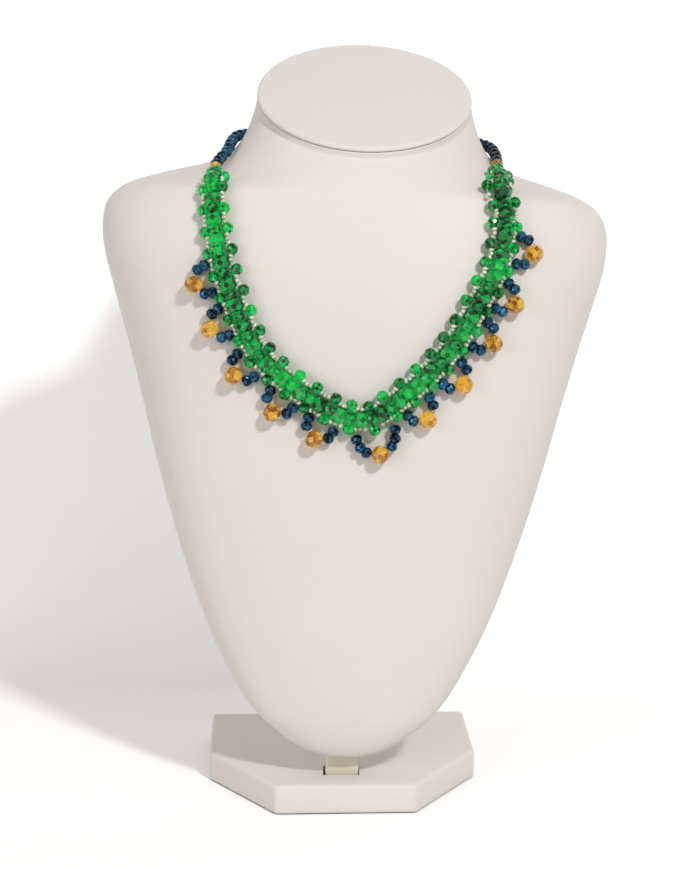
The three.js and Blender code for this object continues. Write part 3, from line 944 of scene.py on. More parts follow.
class Sheet:
    """A new material with its Principled shader and helpers to wire it."""

    def __init__(self, name: str) -> None:
        """Makes the material.

        Args:
            name: Name of the material.
        """
        self.material = bpy.data.materials.new(name)
        self.material.use_nodes = True
        self.nodes = self.material.node_tree.nodes
        self.links = self.material.node_tree.links
        self.shader = self.nodes["Principled BSDF"]

    def set(self, **values: object) -> None:
        """Sets sockets of the shader, named with underscores for spaces."""
        for key, value in values.items():
            self.shader.inputs[key.replace("_", " ")].default_value = value

    def group(self, shared: ShaderGroup, **values: object) -> bpy.types.Node:
        """Places a shared group.

        Args:
            shared: The group.
            values: Value of each of its inputs.

        Returns:
            The group's node.
        """
        made = self.nodes.new("ShaderNodeGroup")
        made.node_tree = shared.tree
        for key, value in values.items():
            made.inputs[key].default_value = value
        return made

    def colour_from(self, socket: bpy.types.NodeSocket) -> None:
        """Feeds the base colour."""
        self.links.new(socket, self.shader.inputs["Base Color"])

    def cloud_between(self, grain: bpy.types.Node, shade: str, light: str) -> None:
        """Blends the base colour between two tones by a grain's cloud.

        Args:
            grain: Node of the grain group.
            shade: Colour code of the darker tone.
            light: Colour code of the lighter tone.
        """
        blend = self.nodes.new("ShaderNodeMix")
        blend.data_type = "RGBA"
        blend.inputs["A"].default_value = linear(shade)
        blend.inputs["B"].default_value = linear(light)
        self.links.new(grain.outputs["Cloud"], blend.inputs["Factor"])
        self.colour_from(blend.outputs["Result"])

    def bump_from(self, socket: bpy.types.NodeSocket, strength: float, depth: float) -> None:
        """Feeds the normal through a bump.

        Args:
            socket: Output with the height.
            strength: Strength of the bump.
            depth: Its depth in metres.
        """
        bump = self.nodes.new("ShaderNodeBump")
        bump.inputs["Strength"].default_value = strength
        bump.inputs["Distance"].default_value = depth
        self.links.new(socket, bump.inputs["Height"])
        self.links.new(bump.outputs["Normal"], self.shader.inputs["Normal"])


@dataclass(frozen=True)
class Leatherette:
    """Matt leatherette with a fine pebbled grain."""

    name: str
    light: str = "d7d0ca"
    shade: str = "d1c9c2"
    roughness: float = 0.62
    specular: float = 0.35
    cells: float = 1500.0
    clouds: float = 14.0
    strength: float = 0.35
    depth: float = 0.12 * MM

    def material(self, kit: FinishKit) -> bpy.types.Material:
        """Makes the material.

        Args:
            kit: The shared shader groups.

        Returns:
            The new material.
        """
        sheet = Sheet(self.name)
        sheet.set(Roughness=self.roughness, Specular_IOR_Level=self.specular)
        grain = sheet.group(kit.grain, Cells=self.cells, Clouds=self.clouds)
        sheet.cloud_between(grain, self.shade, self.light)
        sheet.bump_from(grain.outputs["Height"], self.strength, self.depth)
        return sheet.material


@dataclass(frozen=True)
class BeadGlass:
    """Pressed glass of one colour, clear or with a metallic lustre."""

    name: str
    # deep and bright are the painted shade and the painted light that each facet of the bead is blended
    # between.
    deep: str
    bright: str
    transmission: float = 0.0
    metallic: float = 0.0
    roughness: float = 0.06
    coat: float = 0.0
    coat_roughness: float = 0.2
    specular: float = 0.5
    ior: float = 1.52
    streaks: float = 90.0
    # glow: strength of painted light that the glass gives off in its own colour.
    glow: float = 0.0

    def material(self, kit: FinishKit) -> bpy.types.Material:
        """Makes the material.

        Args:
            kit: The shared shader groups.

        Returns:
            The new material.
        """
        sheet = Sheet(self.name)
        sheet.set(
            Transmission_Weight=self.transmission,
            Metallic=self.metallic,
            Roughness=self.roughness,
            Coat_Weight=self.coat,
            Coat_Roughness=self.coat_roughness,
            Specular_IOR_Level=self.specular,
            IOR=self.ior,
        )
        tone = sheet.group(
            kit.bead_tone,
            Deep=linear(self.deep),
            Bright=linear(self.bright),
            Streaks=self.streaks,
        )
        sheet.colour_from(tone.outputs["Colour"])
        # The glow is painted light: the glass shines in its own colour, standing in for light passing
        # through it.
        if self.glow:
            sheet.links.new(tone.outputs["Colour"], sheet.shader.inputs["Emission Color"])
            sheet.set(Emission_Strength=self.glow)
        return sheet.material


@dataclass(frozen=True)
class StudioPaper:
    """Plain pale paper of the floor and the wall, seen from its face alone."""

    name: str = "studio_paper"
    light: str = "fcfbfa"
    shade: str = "f9f8f7"
    bounce: str = "efeeed"
    roughness: float = 0.9
    specular: float = 0.1
    cells: float = 400.0
    clouds: float = 3.0
    glow: float = 0.04

    def material(self, kit: FinishKit) -> bpy.types.Material:
        """Makes the material.

        Args:
            kit: The shared shader groups.

        Returns:
            The new material.
        """
        sheet = Sheet(self.name)
        sheet.set(Roughness=self.roughness, Specular_IOR_Level=self.specular)
        grain = sheet.group(kit.grain, Cells=self.cells, Clouds=self.clouds)
        sheet.cloud_between(grain, self.shade, self.light)
        sheet.set(Emission_Color=WHITE, Emission_Strength=self.glow)
        self._calm(sheet)
        return sheet.material

    def _calm(self, sheet: Sheet) -> None:
        """Bounces less light than the camera sees, and leaves the paper's back clear.

        Args:
            sheet: The paper's material.
        """
        nodes, links = sheet.nodes, sheet.links
        path = nodes.new("ShaderNodeLightPath")
        bounce = nodes.new("ShaderNodeBsdfDiffuse")
        bounce.inputs["Color"].default_value = linear(self.bounce)
        seen = nodes.new("ShaderNodeMixShader")
        side = nodes.new("ShaderNodeNewGeometry")
        clear = nodes.new("ShaderNodeBsdfTransparent")
        faced = nodes.new("ShaderNodeMixShader")
        links.new(path.outputs["Is Camera Ray"], seen.inputs["Fac"])
        links.new(bounce.outputs["BSDF"], seen.inputs[1])
        links.new(sheet.shader.outputs["BSDF"], seen.inputs[2])
        links.new(side.outputs["Backfacing"], faced.inputs["Fac"])
        links.new(seen.outputs["Shader"], faced.inputs[1])
        links.new(clear.outputs["BSDF"], faced.inputs[2])
        links.new(faced.outputs["Shader"], nodes["Material Output"].inputs["Surface"])


@dataclass
class Finishes:
    """Every material of the necklace and its stand."""

    kit: FinishKit = field(default_factory=FinishKit)

    def __post_init__(self) -> None:
        """Makes the materials once."""
        self.bust = Leatherette("bust_leatherette").material(self.kit)
        self.board = Leatherette("board_leatherette", cells=1300.0).material(self.kit)
        # Dark brown finish for the faces along the board's bottom edge.
        self.dark_bottom = Leatherette(
            "board_underside", light="3a302b", shade="2e2622"
        ).material(self.kit)
        self.post = Leatherette("post_veneer", light="dcd4c0", shade="d4ccb8").material(self.kit)
        self.green = BeadGlass(
            "emerald_glass",
            deep="003608",
            bright="18ff84",
            transmission=0.85,
            roughness=0.05,
            coat=0.12,
            specular=0.15,
            streaks=60.0,
            glow=0.05,
        ).material(self.kit)
        self.blue = BeadGlass(
            "midnight_lustre",
            deep="00050c",
            bright="2a6488",
            metallic=0.6,
            roughness=0.09,
            coat=0.15,
            specular=0.2,
            streaks=15.0,
        ).material(self.kit)
        self.amber = BeadGlass(
            "amber_glass",
            deep="8c5000",
            bright="ffd660",
            transmission=0.85,
            roughness=0.04,
            coat=0.15,
            specular=0.2,
            streaks=60.0,
            glow=0.12,
        ).material(self.kit)
        self.silver = BeadGlass(
            "clear_seed_glass", deep="b4c8a4", bright="f8ffe8", transmission=0.4, roughness=0.06, coat=0.8
        ).material(self.kit)
        self.clasp = BeadGlass(
            "bright_silver", deep="c4c4c2", bright="d4d4d2", metallic=1.0, roughness=0.22
        ).material(self.kit)
        self.thread = BeadGlass(
            "clear_thread", deep="cfe0cf", bright="e6efe4", transmission=0.5, roughness=0.2
        ).material(self.kit)


@dataclass
class PaddedBust:
    """Padded bust and the slanted cap that closes its neck."""

    form: BustForm
    finish: bpy.types.Material
    sides: int = 144
    rows: int = 150
    fine_from: float = 0.8
    fine_rows: int = 90
    rim: float = 2.4 * MM
    rim_edge: float = 0.6 * MM
    cap_thickness: float = 1.7 * MM
    cap_seam: float = 0.3 * MM
    cap_edge: float = 0.4 * MM
    cap_crown: float = 1.1 * MM
    cap_spread: float = 1.4
    corner_rows: int = 6
    row_growth: float = 1.6

    def build(self) -> None:
        """Makes the body and the cap and dresses both."""
        settle(self._skin("bust_cover", self._body_rings()), ["bust_body"])
        settle(self._skin("neck_cap_cover", self._cap_rings()), ["neck_cap"])

    def _ring(self, share: float) -> list[Vector]:
        """One level ring of the skin before the lean."""
        return [self.form.point(360 * side / self.sides, share) for side in range(self.sides)]

    def _rim_ring(self, inset: float, height: float) -> list[Vector]:
        """Makes a ring of the neck's slanted rim.

        Args:
            inset: Distance that it is drawn in from the last section.
            height: Height off the last section.

        Returns:
            The ring's points.
        """
        edge = self._ring(1.0)
        centre = sum(edge, Vector()) / len(edge)
        normal = (edge[0] - centre).cross(edge[self.sides // 4] - centre).normalized()
        share = 1 - inset / (self.form.half_width * SECTIONS[-1].width)
        return [centre + (point - centre) * share + normal * height for point in edge]

    def _corner(self, inset: float, rise: float, top: float) -> list[list[Vector]]:
        """Rounds an upper edge, from its wall in to its flat top.

        Args:
            inset: Distance that the last ring is drawn in.
            rise: Height from the first ring to the last.
            top: Height of the last ring.

        Returns:
            The rings from below.
        """
        rings = []
        for row in range(self.corner_rows + 1):
            turn = math.pi / 2 * row / self.corner_rows
            drawn = inset * (1 - math.cos(turn))
            rings.append(self._rim_ring(drawn, top - rise * (1 - math.sin(turn))))
        return rings

    def _body_rings(self) -> list[list[Vector]]:
        """Makes the rings of the body, closer where the shoulder turns.

        Returns:
            The rings from the tip to the neck's rim.
        """
        shares = [row / self.rows for row in range(self.rows)]
        lower = [self.fine_from * share**self.row_growth for share in shares]
        upper = [mix(self.fine_from, 1.0, row / self.fine_rows) for row in range(self.fine_rows + 1)]
        rim = self._corner(self.rim_edge, self.rim_edge, self.rim)
        return [self._ring(share) for share in lower + upper] + rim

    def _cap_rings(self) -> list[list[Vector]]:
        """Makes the rings of the cap.

        Returns:
            The rings of a drawn-in lower edge, the wall and a rounded crown.
        """
        seat = self.rim + self.cap_seam
        lower = []
        for row in range(self.corner_rows):
            turn = math.pi / 2 * row / self.corner_rows
            drawn = self.cap_edge * (1 - math.sin(turn))
            lower.append(self._rim_ring(drawn, seat + self.cap_edge * (1 - math.cos(turn))))
        spread = self.cap_crown * self.cap_spread
        return lower + self._corner(spread, self.cap_crown, seat + self.cap_thickness)

    def _skin(self, name: str, rings: list[list[Vector]]) -> bpy.types.Object:
        """Joins rings into one closed skin, leans it and gives it its finish.

        Args:
            name: Name of the piece.
            rings: Its rings from below, before the lean.

        Returns:
            The new object.
        """
        shape = bmesh.new()
        lean = self.form.lean()
        rows = [[shape.verts.new(lean @ point) for point in ring] for ring in rings]
        for low, high in zip(rows, rows[1:]):
            for side in range(self.sides):
                after = (side + 1) % self.sides
                shape.faces.new((low[side], low[after], high[after], high[side]))
        for row, ring in ((rows[0], rings[0]), (rows[-1], rings[-1])):
            middle = shape.verts.new(lean @ (sum(ring, Vector()) / len(ring)))
            for side in range(self.sides):
                shape.faces.new((row[side], row[(side + 1) % self.sides], middle))
        bmesh.ops.recalc_face_normals(shape, faces=shape.faces)
        mesh = mesh_from(name, shape)
        mesh.shade_smooth()
        mesh.materials.append(self.finish)
        return add_object(name, mesh)


@dataclass
class StandBoard:
    """Wrapped base board with its slot, and the post that stands in it."""

    form: BustForm
    finishes: Finishes
    width: float = 104 * MM
    front: float = 50.2 * MM
    back: float = 43 * MM
    thickness: float = 11.4 * MM
    front_width: float = 52.8 * MM
    chamfer_depth: float = 41.5 * MM
    yaw: float = 2.2
    rounding: float = 1.6 * MM
    post_rounding: float = 0.9 * MM
    post_width: float = 12.6 * MM
    post_depth: float = 8 * MM
    post_setback: float = 14.9 * MM
    slot_floor: float = 4 * MM
    slot_side_gap: float = 0.6 * MM
    slot_front_gap: float = 3 * MM
    dark_bottom_height: float = 0.5 * MM
    segments: int = 4
    sharp_angle: float = 40.0

    def build(self) -> None:
        """Makes the board and the post and dresses both."""
        settle(self._board(), ["base_plate"])
        settle(self._post(), ["stand_post"])

    def _board(self) -> bpy.types.Object:
        """Makes the board with its two front corners cut off, rounded edges and a slot.

        Returns:
            The board, with its lowest faces in a dark finish of their own.
        """
        half, front_half = self.width / 2, self.front_width / 2
        corner = self.chamfer_depth - self.front
        outline = [(-front_half, -self.front), (front_half, -self.front), (half, corner)]
        outline += [(half, self.back), (-half, self.back), (-half, corner)]
        shape = bmesh.new()
        floor = shape.faces.new([shape.verts.new((x, y, 0)) for x, y in outline])
        raised = bmesh.ops.extrude_face_region(shape, geom=[floor])["geom"]
        corners = [part for part in raised if isinstance(part, bmesh.types.BMVert)]
        bmesh.ops.translate(shape, verts=corners, vec=(0, 0, self.thickness))
        turn = Matrix.Rotation(math.radians(self.yaw), 3, "Z")
        bmesh.ops.rotate(shape, verts=shape.verts, cent=(0, 0, 0), matrix=turn)
        bmesh.ops.recalc_face_normals(shape, faces=shape.faces)
        board = self._object("board_cover", shape)
        self._round(board, self.rounding)
        slot = self._slot()
        cut = board.modifiers.new("slot", "BOOLEAN")
        cut.object = slot
        cut.operation = "DIFFERENCE"
        cut.solver = "EXACT"
        flatten(board)
        bpy.data.meshes.remove(slot.data)
        board.data.materials.clear()
        board.data.materials.append(self.finishes.board)
        board.data.materials.append(self.finishes.dark_bottom)
        # Faces whose middles lie in the lowest half millimetre take the dark finish, which shows as a
        # dark line along the bottom edge.
        for face in board.data.polygons:
            face.material_index = int(face.center.z < self.dark_bottom_height)
        board.data.shade_smooth()
        self._sharpen(board.data)
        return board

    def _slot(self) -> bpy.types.Object:
        """Makes the block that cuts the slot out of the board.

        Returns:
            The block, which the board removes once it is cut.
        """
        shape = bmesh.new()
        size = (
            self.post_width + 2 * self.slot_side_gap,
            self.post_depth + self.slot_side_gap + self.slot_front_gap,
            2 * (self.thickness - self.slot_floor),
        )
        middle = self.post_setback - self.front + self.post_depth / 2
        middle += (self.slot_side_gap - self.slot_front_gap) / 2
        bmesh.ops.create_cube(shape, size=1.0)
        bmesh.ops.scale(shape, verts=shape.verts, vec=size)
        bmesh.ops.translate(shape, verts=shape.verts, vec=(0, middle, self.thickness))
        return self._object("slot_block", shape)

    def _post(self) -> bpy.types.Object:
        """Makes the post with rounded edges, leaning with the bust.

        Returns:
            The post.
        """
        low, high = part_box("stand_post")
        shape = bmesh.new()
        lean = self.form.lean()
        span = high.z - low.z - self.post_width * math.sin(math.radians(self.form.lean_angle))
        bmesh.ops.create_cube(shape, size=1.0)
        bmesh.ops.scale(shape, verts=shape.verts, vec=(self.post_width, self.post_depth, span))
        bmesh.ops.rotate(shape, verts=shape.verts, cent=(0, 0, 0), matrix=lean)
        bmesh.ops.translate(shape, verts=shape.verts, vec=(low + high) / 2)
        post = self._object("post_cover", shape)
        self._round(post, self.post_rounding)
        flatten(post)
        post.data.shade_smooth()
        post.data.materials.append(self.finishes.post)
        self._sharpen(post.data)
        return post

    def _object(self, name: str, shape: bmesh.types.BMesh) -> bpy.types.Object:
        """Makes an object from a finished shape."""
        return add_object(name, mesh_from(name, shape))

    def _round(self, piece: bpy.types.Object, width: float) -> None:
        """Adds a bevel to every sharp edge.

        Args:
            piece: Object that takes the bevel.
            width: Width of the bevel.
        """
        bevel = piece.modifiers.new("rounding", "BEVEL")
        bevel.width = width
        bevel.segments = self.segments
        bevel.limit_method = "ANGLE"

    def _sharpen(self, mesh: bpy.types.Mesh) -> None:
        """Keeps edges sharp where two faces meet at a steep angle."""
        mesh.set_sharp_from_angle(angle=math.radians(self.sharp_angle))


@dataclass
class WovenBand:
    """Woven V of core beads, edge beads, centre beads and the seeds that link them."""

    route: NecklaceRoute
    bench: BeadBench
    finishes: Finishes
    pitch: float = 8 * MM
    left_units: int = 15
    right_units: int = 15
    clearance: float = 0.5 * MM
    core: tuple[float, float] = (6.2 * MM, 6.2 * MM)
    edge: tuple[float, float] = (4.2 * MM, 4 * MM)
    centre: tuple[float, float] = (4.4 * MM, 3.8 * MM)
    seed: tuple[float, float] = (1.95 * MM, 1.35 * MM)
    edge_offset: float = 4.4 * MM
    taper_units: int = 4
    taper_share: float = 0.7
    edge_rise: float = 0.5 * MM
    centre_rise: float = 1.1 * MM
    core_reach: float = 0.2 * MM
    thread_diameter: float = 0.35 * MM
    seed_places: tuple[float, ...] = (0.62, 1.0, 1.38)
    thread_steps: int = 8

    def build(self) -> None:
        """Strings every bead of the band and dresses it."""
        core_lift = self.core[0] / 2 + self.clearance
        cores, centres, edges, seeds, lines = [], [], [], [], []
        for unit in range(-self.left_units, self.right_units):
            seat = self.route.seat((unit + 0.5) * self.pitch, 0, core_lift)
            cores.append(Bead(seat.point, seat.outward, seat.normal, *self.core))
        for unit in range(1 - self.left_units, self.right_units):
            seat = self.route.seat(unit * self.pitch, 0, core_lift + self.centre_rise)
            centres.append(Bead(seat.point, seat.outward, seat.normal, *self.centre))
        for side in (-1, 1):
            run, lifts = self._edge_run(side, core_lift)
            for number in range(0, len(run.points), 2):
                heading = run.heading(number)
                edges.append(Bead(run.points[number], heading, lifts[number], *self.edge))
                if number + 2 >= len(run.points):
                    continue
                for place in self.seed_places:
                    at = number + place
                    bead = Bead(run.at(at), run.heading(at), lifts[number], *self.seed)
                    seeds.append(bead)
            lines.append(run.steps(self.thread_steps))
        string, glass = self.bench.string, self.finishes.green
        pieces = [
            string("woven_core_beads", cores, BeadCut.FIRE_POLISHED, glass),
            string("woven_edge_beads", edges, BeadCut.FIRE_POLISHED, glass),
            string("woven_centre_beads", centres, BeadCut.FIRE_POLISHED, glass),
        ]
        for piece in pieces:
            settle(piece, ["woven_band"])
        settle(string("woven_seed_beads", seeds, BeadCut.SEED, self.finishes.silver))
        thread = self.bench.threads(
            "woven_thread", lines, self.thread_diameter, self.finishes.thread
        )
        settle(thread)

    def _edge_run(self, side: int, core_lift: float) -> tuple[SmoothRun, list[Vector]]:
        """Run of one edge thread, out to each edge bead and in to each core's end.

        Args:
            side: Outwards is 1 and inwards is -1.
            core_lift: Height of the cores' middles off the skin.

        Returns:
            The run, and the skin's direction at each of its points.
        """
        edge_lift = self.edge[0] / 2 + self.clearance + self.edge_rise
        points, lifts = [], []
        for number in range(2 * (self.left_units + self.right_units) + 1):
            along = (number / 2 - self.left_units) * self.pitch
            if number % 2 == 0:
                inside = min(number, 2 * (self.left_units + self.right_units) - number) / 2
                drawn_in = mix(self.taper_share, 1, min(1, inside / self.taper_units))
                seat = self.route.seat(along, side * self.edge_offset * drawn_in, edge_lift)
            else:
                across = self.core[1] / 2 + self.core_reach
                seat = self.route.seat(along, side * across, core_lift)
            points.append(seat.point)
            lifts.append(seat.normal)
        return SmoothRun(points), lifts


@dataclass
class FringeLoops:
    """Eleven loops of blue beads, each with an amber bead in its bend."""

    band: WovenBand
    a_side: int = 5
    units_apart: int = 2
    drop: float = 12.7 * MM
    centre_drop: float = 13.6 * MM
    blue: tuple[float, float] = (4.3 * MM, 3.3 * MM)
    amber: tuple[float, float] = (6.5 * MM, 5.8 * MM)
    thread_diameter: float = 0.4 * MM
    thread_end: float = 0.47
    thread_steps: int = 6
    side_legs: tuple[tuple[float, float], ...] = ((5.1 * MM, 6.6 * MM), (4.5 * MM, 9.8 * MM))
    centre_legs: tuple[tuple[float, float], ...] = (
        (7.2 * MM, 6.1 * MM),
        (6.5 * MM, 9.3 * MM),
        (4.7 * MM, 11.8 * MM),
    )

    def build(self) -> None:
        """Strings the loops and dresses them."""
        blues, ambers, lines, numbers = [], [], [], range(1, 2 * self.a_side + 2)
        for index in range(-self.a_side, self.a_side + 1):
            self._loop(index, blues, ambers, lines)
        bench, finishes = self.band.bench, self.band.finishes
        blue = bench.string("fringe_blue_beads", blues, BeadCut.RONDELLE, finishes.blue)
        amber = bench.string("fringe_amber_beads", ambers, BeadCut.FIRE_POLISHED, finishes.amber)
        thread = bench.threads("fringe_thread", lines, self.thread_diameter, finishes.thread)
        settle(blue, [f"fringe_loop_{number:02d}" for number in numbers])
        settle(amber, [f"amber_bead_{number:02d}" for number in numbers])
        settle(thread)

    def _loop(
        self, index: int, blues: list[Bead], ambers: list[Bead], lines: list[list[Vector]]
    ) -> None:
        """Adds one loop's beads and thread.

        Args:
            index: Place of the loop from the point of the V, negative on the left arm.
            blues: List that takes its blue beads.
            ambers: List that takes its amber bead.
            lines: List that takes its thread.
        """
        middle = index * self.units_apart * self.band.pitch
        legs = self.side_legs if index else self.centre_legs
        drop = self.drop if index else self.centre_drop
        blue_lift = self.blue[0] / 2 + self.band.clearance
        amber_lift = self.amber[0] / 2 + self.band.clearance

        def place(sideways: float, outwards: float, lift: float) -> Vector:
            """Place beside the loop's middle line."""
            seat = self.band.route.seat(middle, outwards, lift)
            return seat.point + seat.tangent * sideways

        seat = self.band.route.seat(middle, drop, amber_lift)
        start = [place(-sideways, outwards, blue_lift) for sideways, outwards in legs]
        end = [place(sideways, outwards, blue_lift) for sideways, outwards in reversed(legs)]
        bore = [place(way * self.amber[1] / 2, drop, amber_lift) for way in (-1.0, 1.0)]
        first = start[0].lerp(start[1], -self.thread_end)
        last = end[-1].lerp(end[-2], -self.thread_end)
        run = SmoothRun([first, *start, *bore, *end, last])
        for number in range(1, len(run.points) - 1):
            if len(legs) < number <= len(legs) + len(bore):
                continue
            bead = Bead(run.points[number], run.heading(number), seat.normal, *self.blue)
            blues.append(bead)
        ambers.append(Bead(seat.point, seat.tangent, seat.normal, *self.amber))
        lines.append(run.steps(self.thread_steps))


@dataclass
class BackStrands:
    """Strands of rondelles round the neck, as far as the hidden clasp."""

    band: WovenBand
    diameter: float = 4.4 * MM
    pitch: float = 4.7 * MM
    bead_length: float = 3.5 * MM
    spacer: tuple[float, float] = (2.0 * MM, 1.3 * MM)
    clasp_diameter: float = 5 * MM
    clasp_length: float = 12 * MM
    clasp_rise: float = 0.4 * MM
    gap: float = 0.3 * MM
    thread_diameter: float = 0.4 * MM
    clasp_profile: tuple[tuple[float, float], ...] = (
        (0.0, 0.5),
        (0.22, 0.5),
        (0.27, 0.47),
        (0.27, 0.42),
        (0.4, 0.4),
        (0.48, 0.36),
        (0.5, 0.3),
        (0.5, 0.04),
        (0.46, 0.02),
    )
    clasp_sides: int = 48
    clasp_sharp_angle: float = 35.0
    thread_steps: int = 3

    def build(self) -> None:
        """Strings both strands and makes the clasp."""
        band = self.band
        right = band.right_units * band.pitch + band.edge[1]
        left = band.route.length - band.left_units * band.pitch - band.edge[1]
        middle = (right + left) / 2
        reach = self.clasp_length / 2 + self.gap
        greens, ambers, blues, spacers, lines = [], [], [], [], []
        for start, end in ((right, middle - reach), (left, middle + reach)):
            count = round(abs(end - start) / self.pitch)
            line = []
            for number in range(2 * count + 1):
                along = mix(start, end, number / (2 * count))
                seat = band.route.seat(along, 0, self.diameter / 2 + band.clearance)
                line.append(seat.point)
                if number % 2 == 0:
                    if 0 < number < 2 * count:
                        spacers.append(Bead(seat.point, seat.tangent, seat.normal, *self.spacer))
                    continue
                kind = {1: greens, 3: ambers}.get(number, blues)
                size = (self.diameter, self.bead_length)
                kind.append(Bead(seat.point, seat.tangent, seat.normal, *size))
            lines.append(SmoothRun(line).steps(self.thread_steps))
        finishes, string = band.finishes, band.bench.string
        names = ["back_strand_left", "back_strand_right"]
        blue = string("back_blue_rondelles", blues, BeadCut.RONDELLE, finishes.blue)
        green = string("back_green_beads", greens, BeadCut.FIRE_POLISHED, finishes.green)
        amber = string("back_amber_rondelles", ambers, BeadCut.RONDELLE, finishes.amber)
        spacer = string("back_silver_spacers", spacers, BeadCut.SEED, finishes.silver)
        thread = band.bench.threads("back_thread", lines, self.thread_diameter, finishes.thread)
        settle(blue, names)
        settle(green)
        settle(amber)
        settle(spacer)
        settle(thread)
        settle(self._clasp(middle), ["clasp"])

    def _clasp(self, middle: float) -> bpy.types.Object:
        """Makes a plain barrel with a collar at each end and a fine seam round its middle.

        Args:
            middle: Length along the route at which its middle lies.

        Returns:
            The clasp.
        """
        seat = self.band.route.seat(
            middle, 0, self.clasp_diameter / 2 + self.band.clearance + self.clasp_rise
        )
        half = list(self.clasp_profile)
        outline = half + [(radius, -height) for radius, height in reversed(half)]
        side = seat.tangent.cross(seat.normal).normalized()
        shape = bmesh.new()
        rows = []
        for radius, height in outline:
            centre = seat.point + seat.tangent * (height * self.clasp_length)
            if radius == 0:
                rows.append([shape.verts.new(centre)])
                continue
            row = []
            for number in range(self.clasp_sides):
                turn = 2 * math.pi * number / self.clasp_sides
                way = seat.normal * math.cos(turn) + side * math.sin(turn)
                row.append(shape.verts.new(centre + way * (radius * self.clasp_diameter)))
            rows.append(row)
        for low, high in zip(rows, rows[1:]):
            for number in range(self.clasp_sides):
                after = (number + 1) % self.clasp_sides
                if len(low) == 1:
                    shape.faces.new((low[0], high[number], high[after]))
                elif len(high) == 1:
                    shape.faces.new((low[number], low[after], high[0]))
                else:
                    shape.faces.new((low[number], low[after], high[after], high[number]))
        bmesh.ops.recalc_face_normals(shape, faces=shape.faces)
        mesh = mesh_from("clasp_barrel", shape)
        mesh.shade_smooth()
        mesh.set_sharp_from_angle(angle=math.radians(self.clasp_sharp_angle))
        mesh.materials.append(self.band.finishes.clasp)
        return add_object("clasp_barrel", mesh)


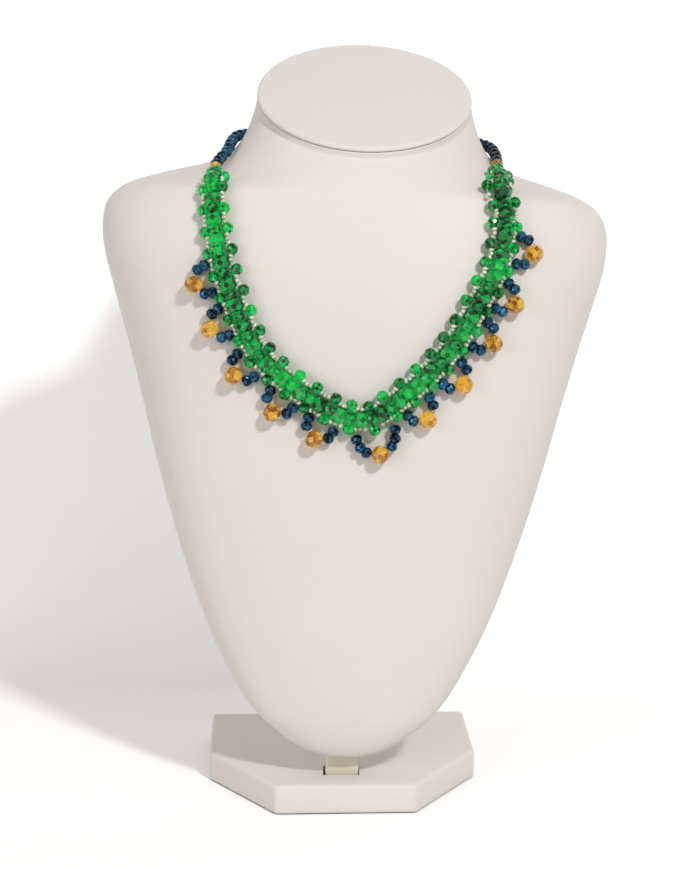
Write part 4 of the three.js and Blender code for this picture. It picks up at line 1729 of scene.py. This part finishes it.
@dataclass
class Studio:
    """Pale paper floor with a wall close behind, two lights, the air's light and the camera."""

    finishes: Finishes
    floor_half: float = 0.55
    wall_y: float = 0.155
    sweep_radius: float = 0.03
    wall_height: float = 0.5
    sweep_rows: int = 24
    key_place: tuple[float, float, float] = (0.684, -1.286, 1.218)
    key_size: float = 0.16
    key_power: float = 20.0
    fill_place: tuple[float, float, float] = (-1.2, -1.15, 0.55)
    fill_size: float = 1.0
    fill_power: float = 7.0
    air_strength: float = 0.47
    backdrop_strength: float = 1.02
    camera_place: tuple[float, float, float] = (0.0034, -0.8055, 0.2706)
    camera_pitch: float = 9.5
    lens: float = 87.41
    sensor: float = 36.0
    clip_near: float = 0.01
    clip_far: float = 50
    aim: tuple[float, float, float] = (0, 0, 0.16)

    def build(self) -> None:
        """Sets up the sweep, the lights, the world and the camera."""
        self._sweep()
        self._light("key_light", self.key_place, self.key_size, self.key_power)
        self._light("fill_light", self.fill_place, self.fill_size, self.fill_power)
        self._air()
        view = bpy.context.scene.view_settings
        view.view_transform = "Standard"
        view.look = "None"
        self._camera()

    def _air(self) -> None:
        """Even light from all round, with plain white behind the stand."""
        world = bpy.data.worlds.new("studio_air")
        bpy.context.scene.world = world
        world.use_nodes = True
        nodes, links = world.node_tree.nodes, world.node_tree.links
        around = nodes["Background"]
        around.inputs["Color"].default_value = WHITE
        around.inputs["Strength"].default_value = self.air_strength
        behind = nodes.new("ShaderNodeBackground")
        behind.inputs["Color"].default_value = WHITE
        behind.inputs["Strength"].default_value = self.backdrop_strength
        path = nodes.new("ShaderNodeLightPath")
        chosen = nodes.new("ShaderNodeMixShader")
        links.new(path.outputs["Is Camera Ray"], chosen.inputs["Fac"])
        links.new(around.outputs["Background"], chosen.inputs[1])
        links.new(behind.outputs["Background"], chosen.inputs[2])
        links.new(chosen.outputs["Shader"], nodes["World Output"].inputs["Surface"])

    def _sweep(self) -> bpy.types.Object:
        """Makes the floor, which turns up into a wall behind the stand for its shadow.

        Returns:
            The sweep.
        """
        line = [(-self.floor_half, 0.0)]
        for row in range(self.sweep_rows + 1):
            turn = math.pi / 2 * row / self.sweep_rows
            y = self.wall_y - self.sweep_radius * (1 - math.sin(turn))
            line.append((y, self.sweep_radius * (1 - math.cos(turn))))
        line.append((self.wall_y, self.wall_height))
        corners, faces = [], []
        for y, z in line:
            corners += [(-self.floor_half, y, z), (self.floor_half, y, z)]
        for row in range(len(line) - 1):
            low = 2 * row
            faces.append((low, low + 1, low + 3, low + 2))
        mesh = bpy.data.meshes.new("studio_sweep")
        mesh.from_pydata(corners, [], faces)
        mesh.shade_smooth()
        mesh.materials.append(StudioPaper().material(self.finishes.kit))
        return add_object("studio_sweep", mesh)

    def _light(
        self, name: str, place: tuple[float, float, float], size: float, power: float
    ) -> None:
        """Adds a soft square light that faces the bust.

        Args:
            name: Name of the light.
            place: Where it stands.
            size: Length of its side.
            power: Its power in watts.
        """
        lamp = bpy.data.lights.new(name, "AREA")
        lamp.shape = "SQUARE"
        lamp.size = size
        lamp.energy = power
        made = bpy.data.objects.new(name, lamp)
        made.location = place
        aim = Vector(self.aim) - Vector(place)
        made.rotation_euler = aim.to_track_quat("-Z", "Y").to_euler()
        bpy.context.scene.collection.objects.link(made)

    def _camera(self) -> None:
        """Adds the camera at the photograph's viewing angle."""
        data = bpy.data.cameras.new("camera")
        data.sensor_width = self.sensor
        data.lens = self.lens
        data.clip_start, data.clip_end = self.clip_near, self.clip_far
        made = bpy.data.objects.new("camera", data)
        made.location = self.camera_place
        made.rotation_euler = (math.radians(90 - self.camera_pitch), 0, 0)
        bpy.context.scene.collection.objects.link(made)
        bpy.context.scene.camera = made


def main() -> None:
    """Builds every sub-assembly in order."""
    logging.basicConfig(level=logging.INFO, format="%(name)s: %(message)s")
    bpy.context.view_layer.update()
    form = BustForm()
    finishes = Finishes()
    bench = BeadBench()
    PaddedBust(form, finishes.bust).build()
    StandBoard(form, finishes).build()
    route = NecklaceRoute(form, ROUTE_LIFT)
    band = WovenBand(route, bench, finishes)
    band.build()
    FringeLoops(band).build()
    BackStrands(band).build()
    bench.put_away()
    Studio(finishes).build()


if __name__ == "__main__":
    main()
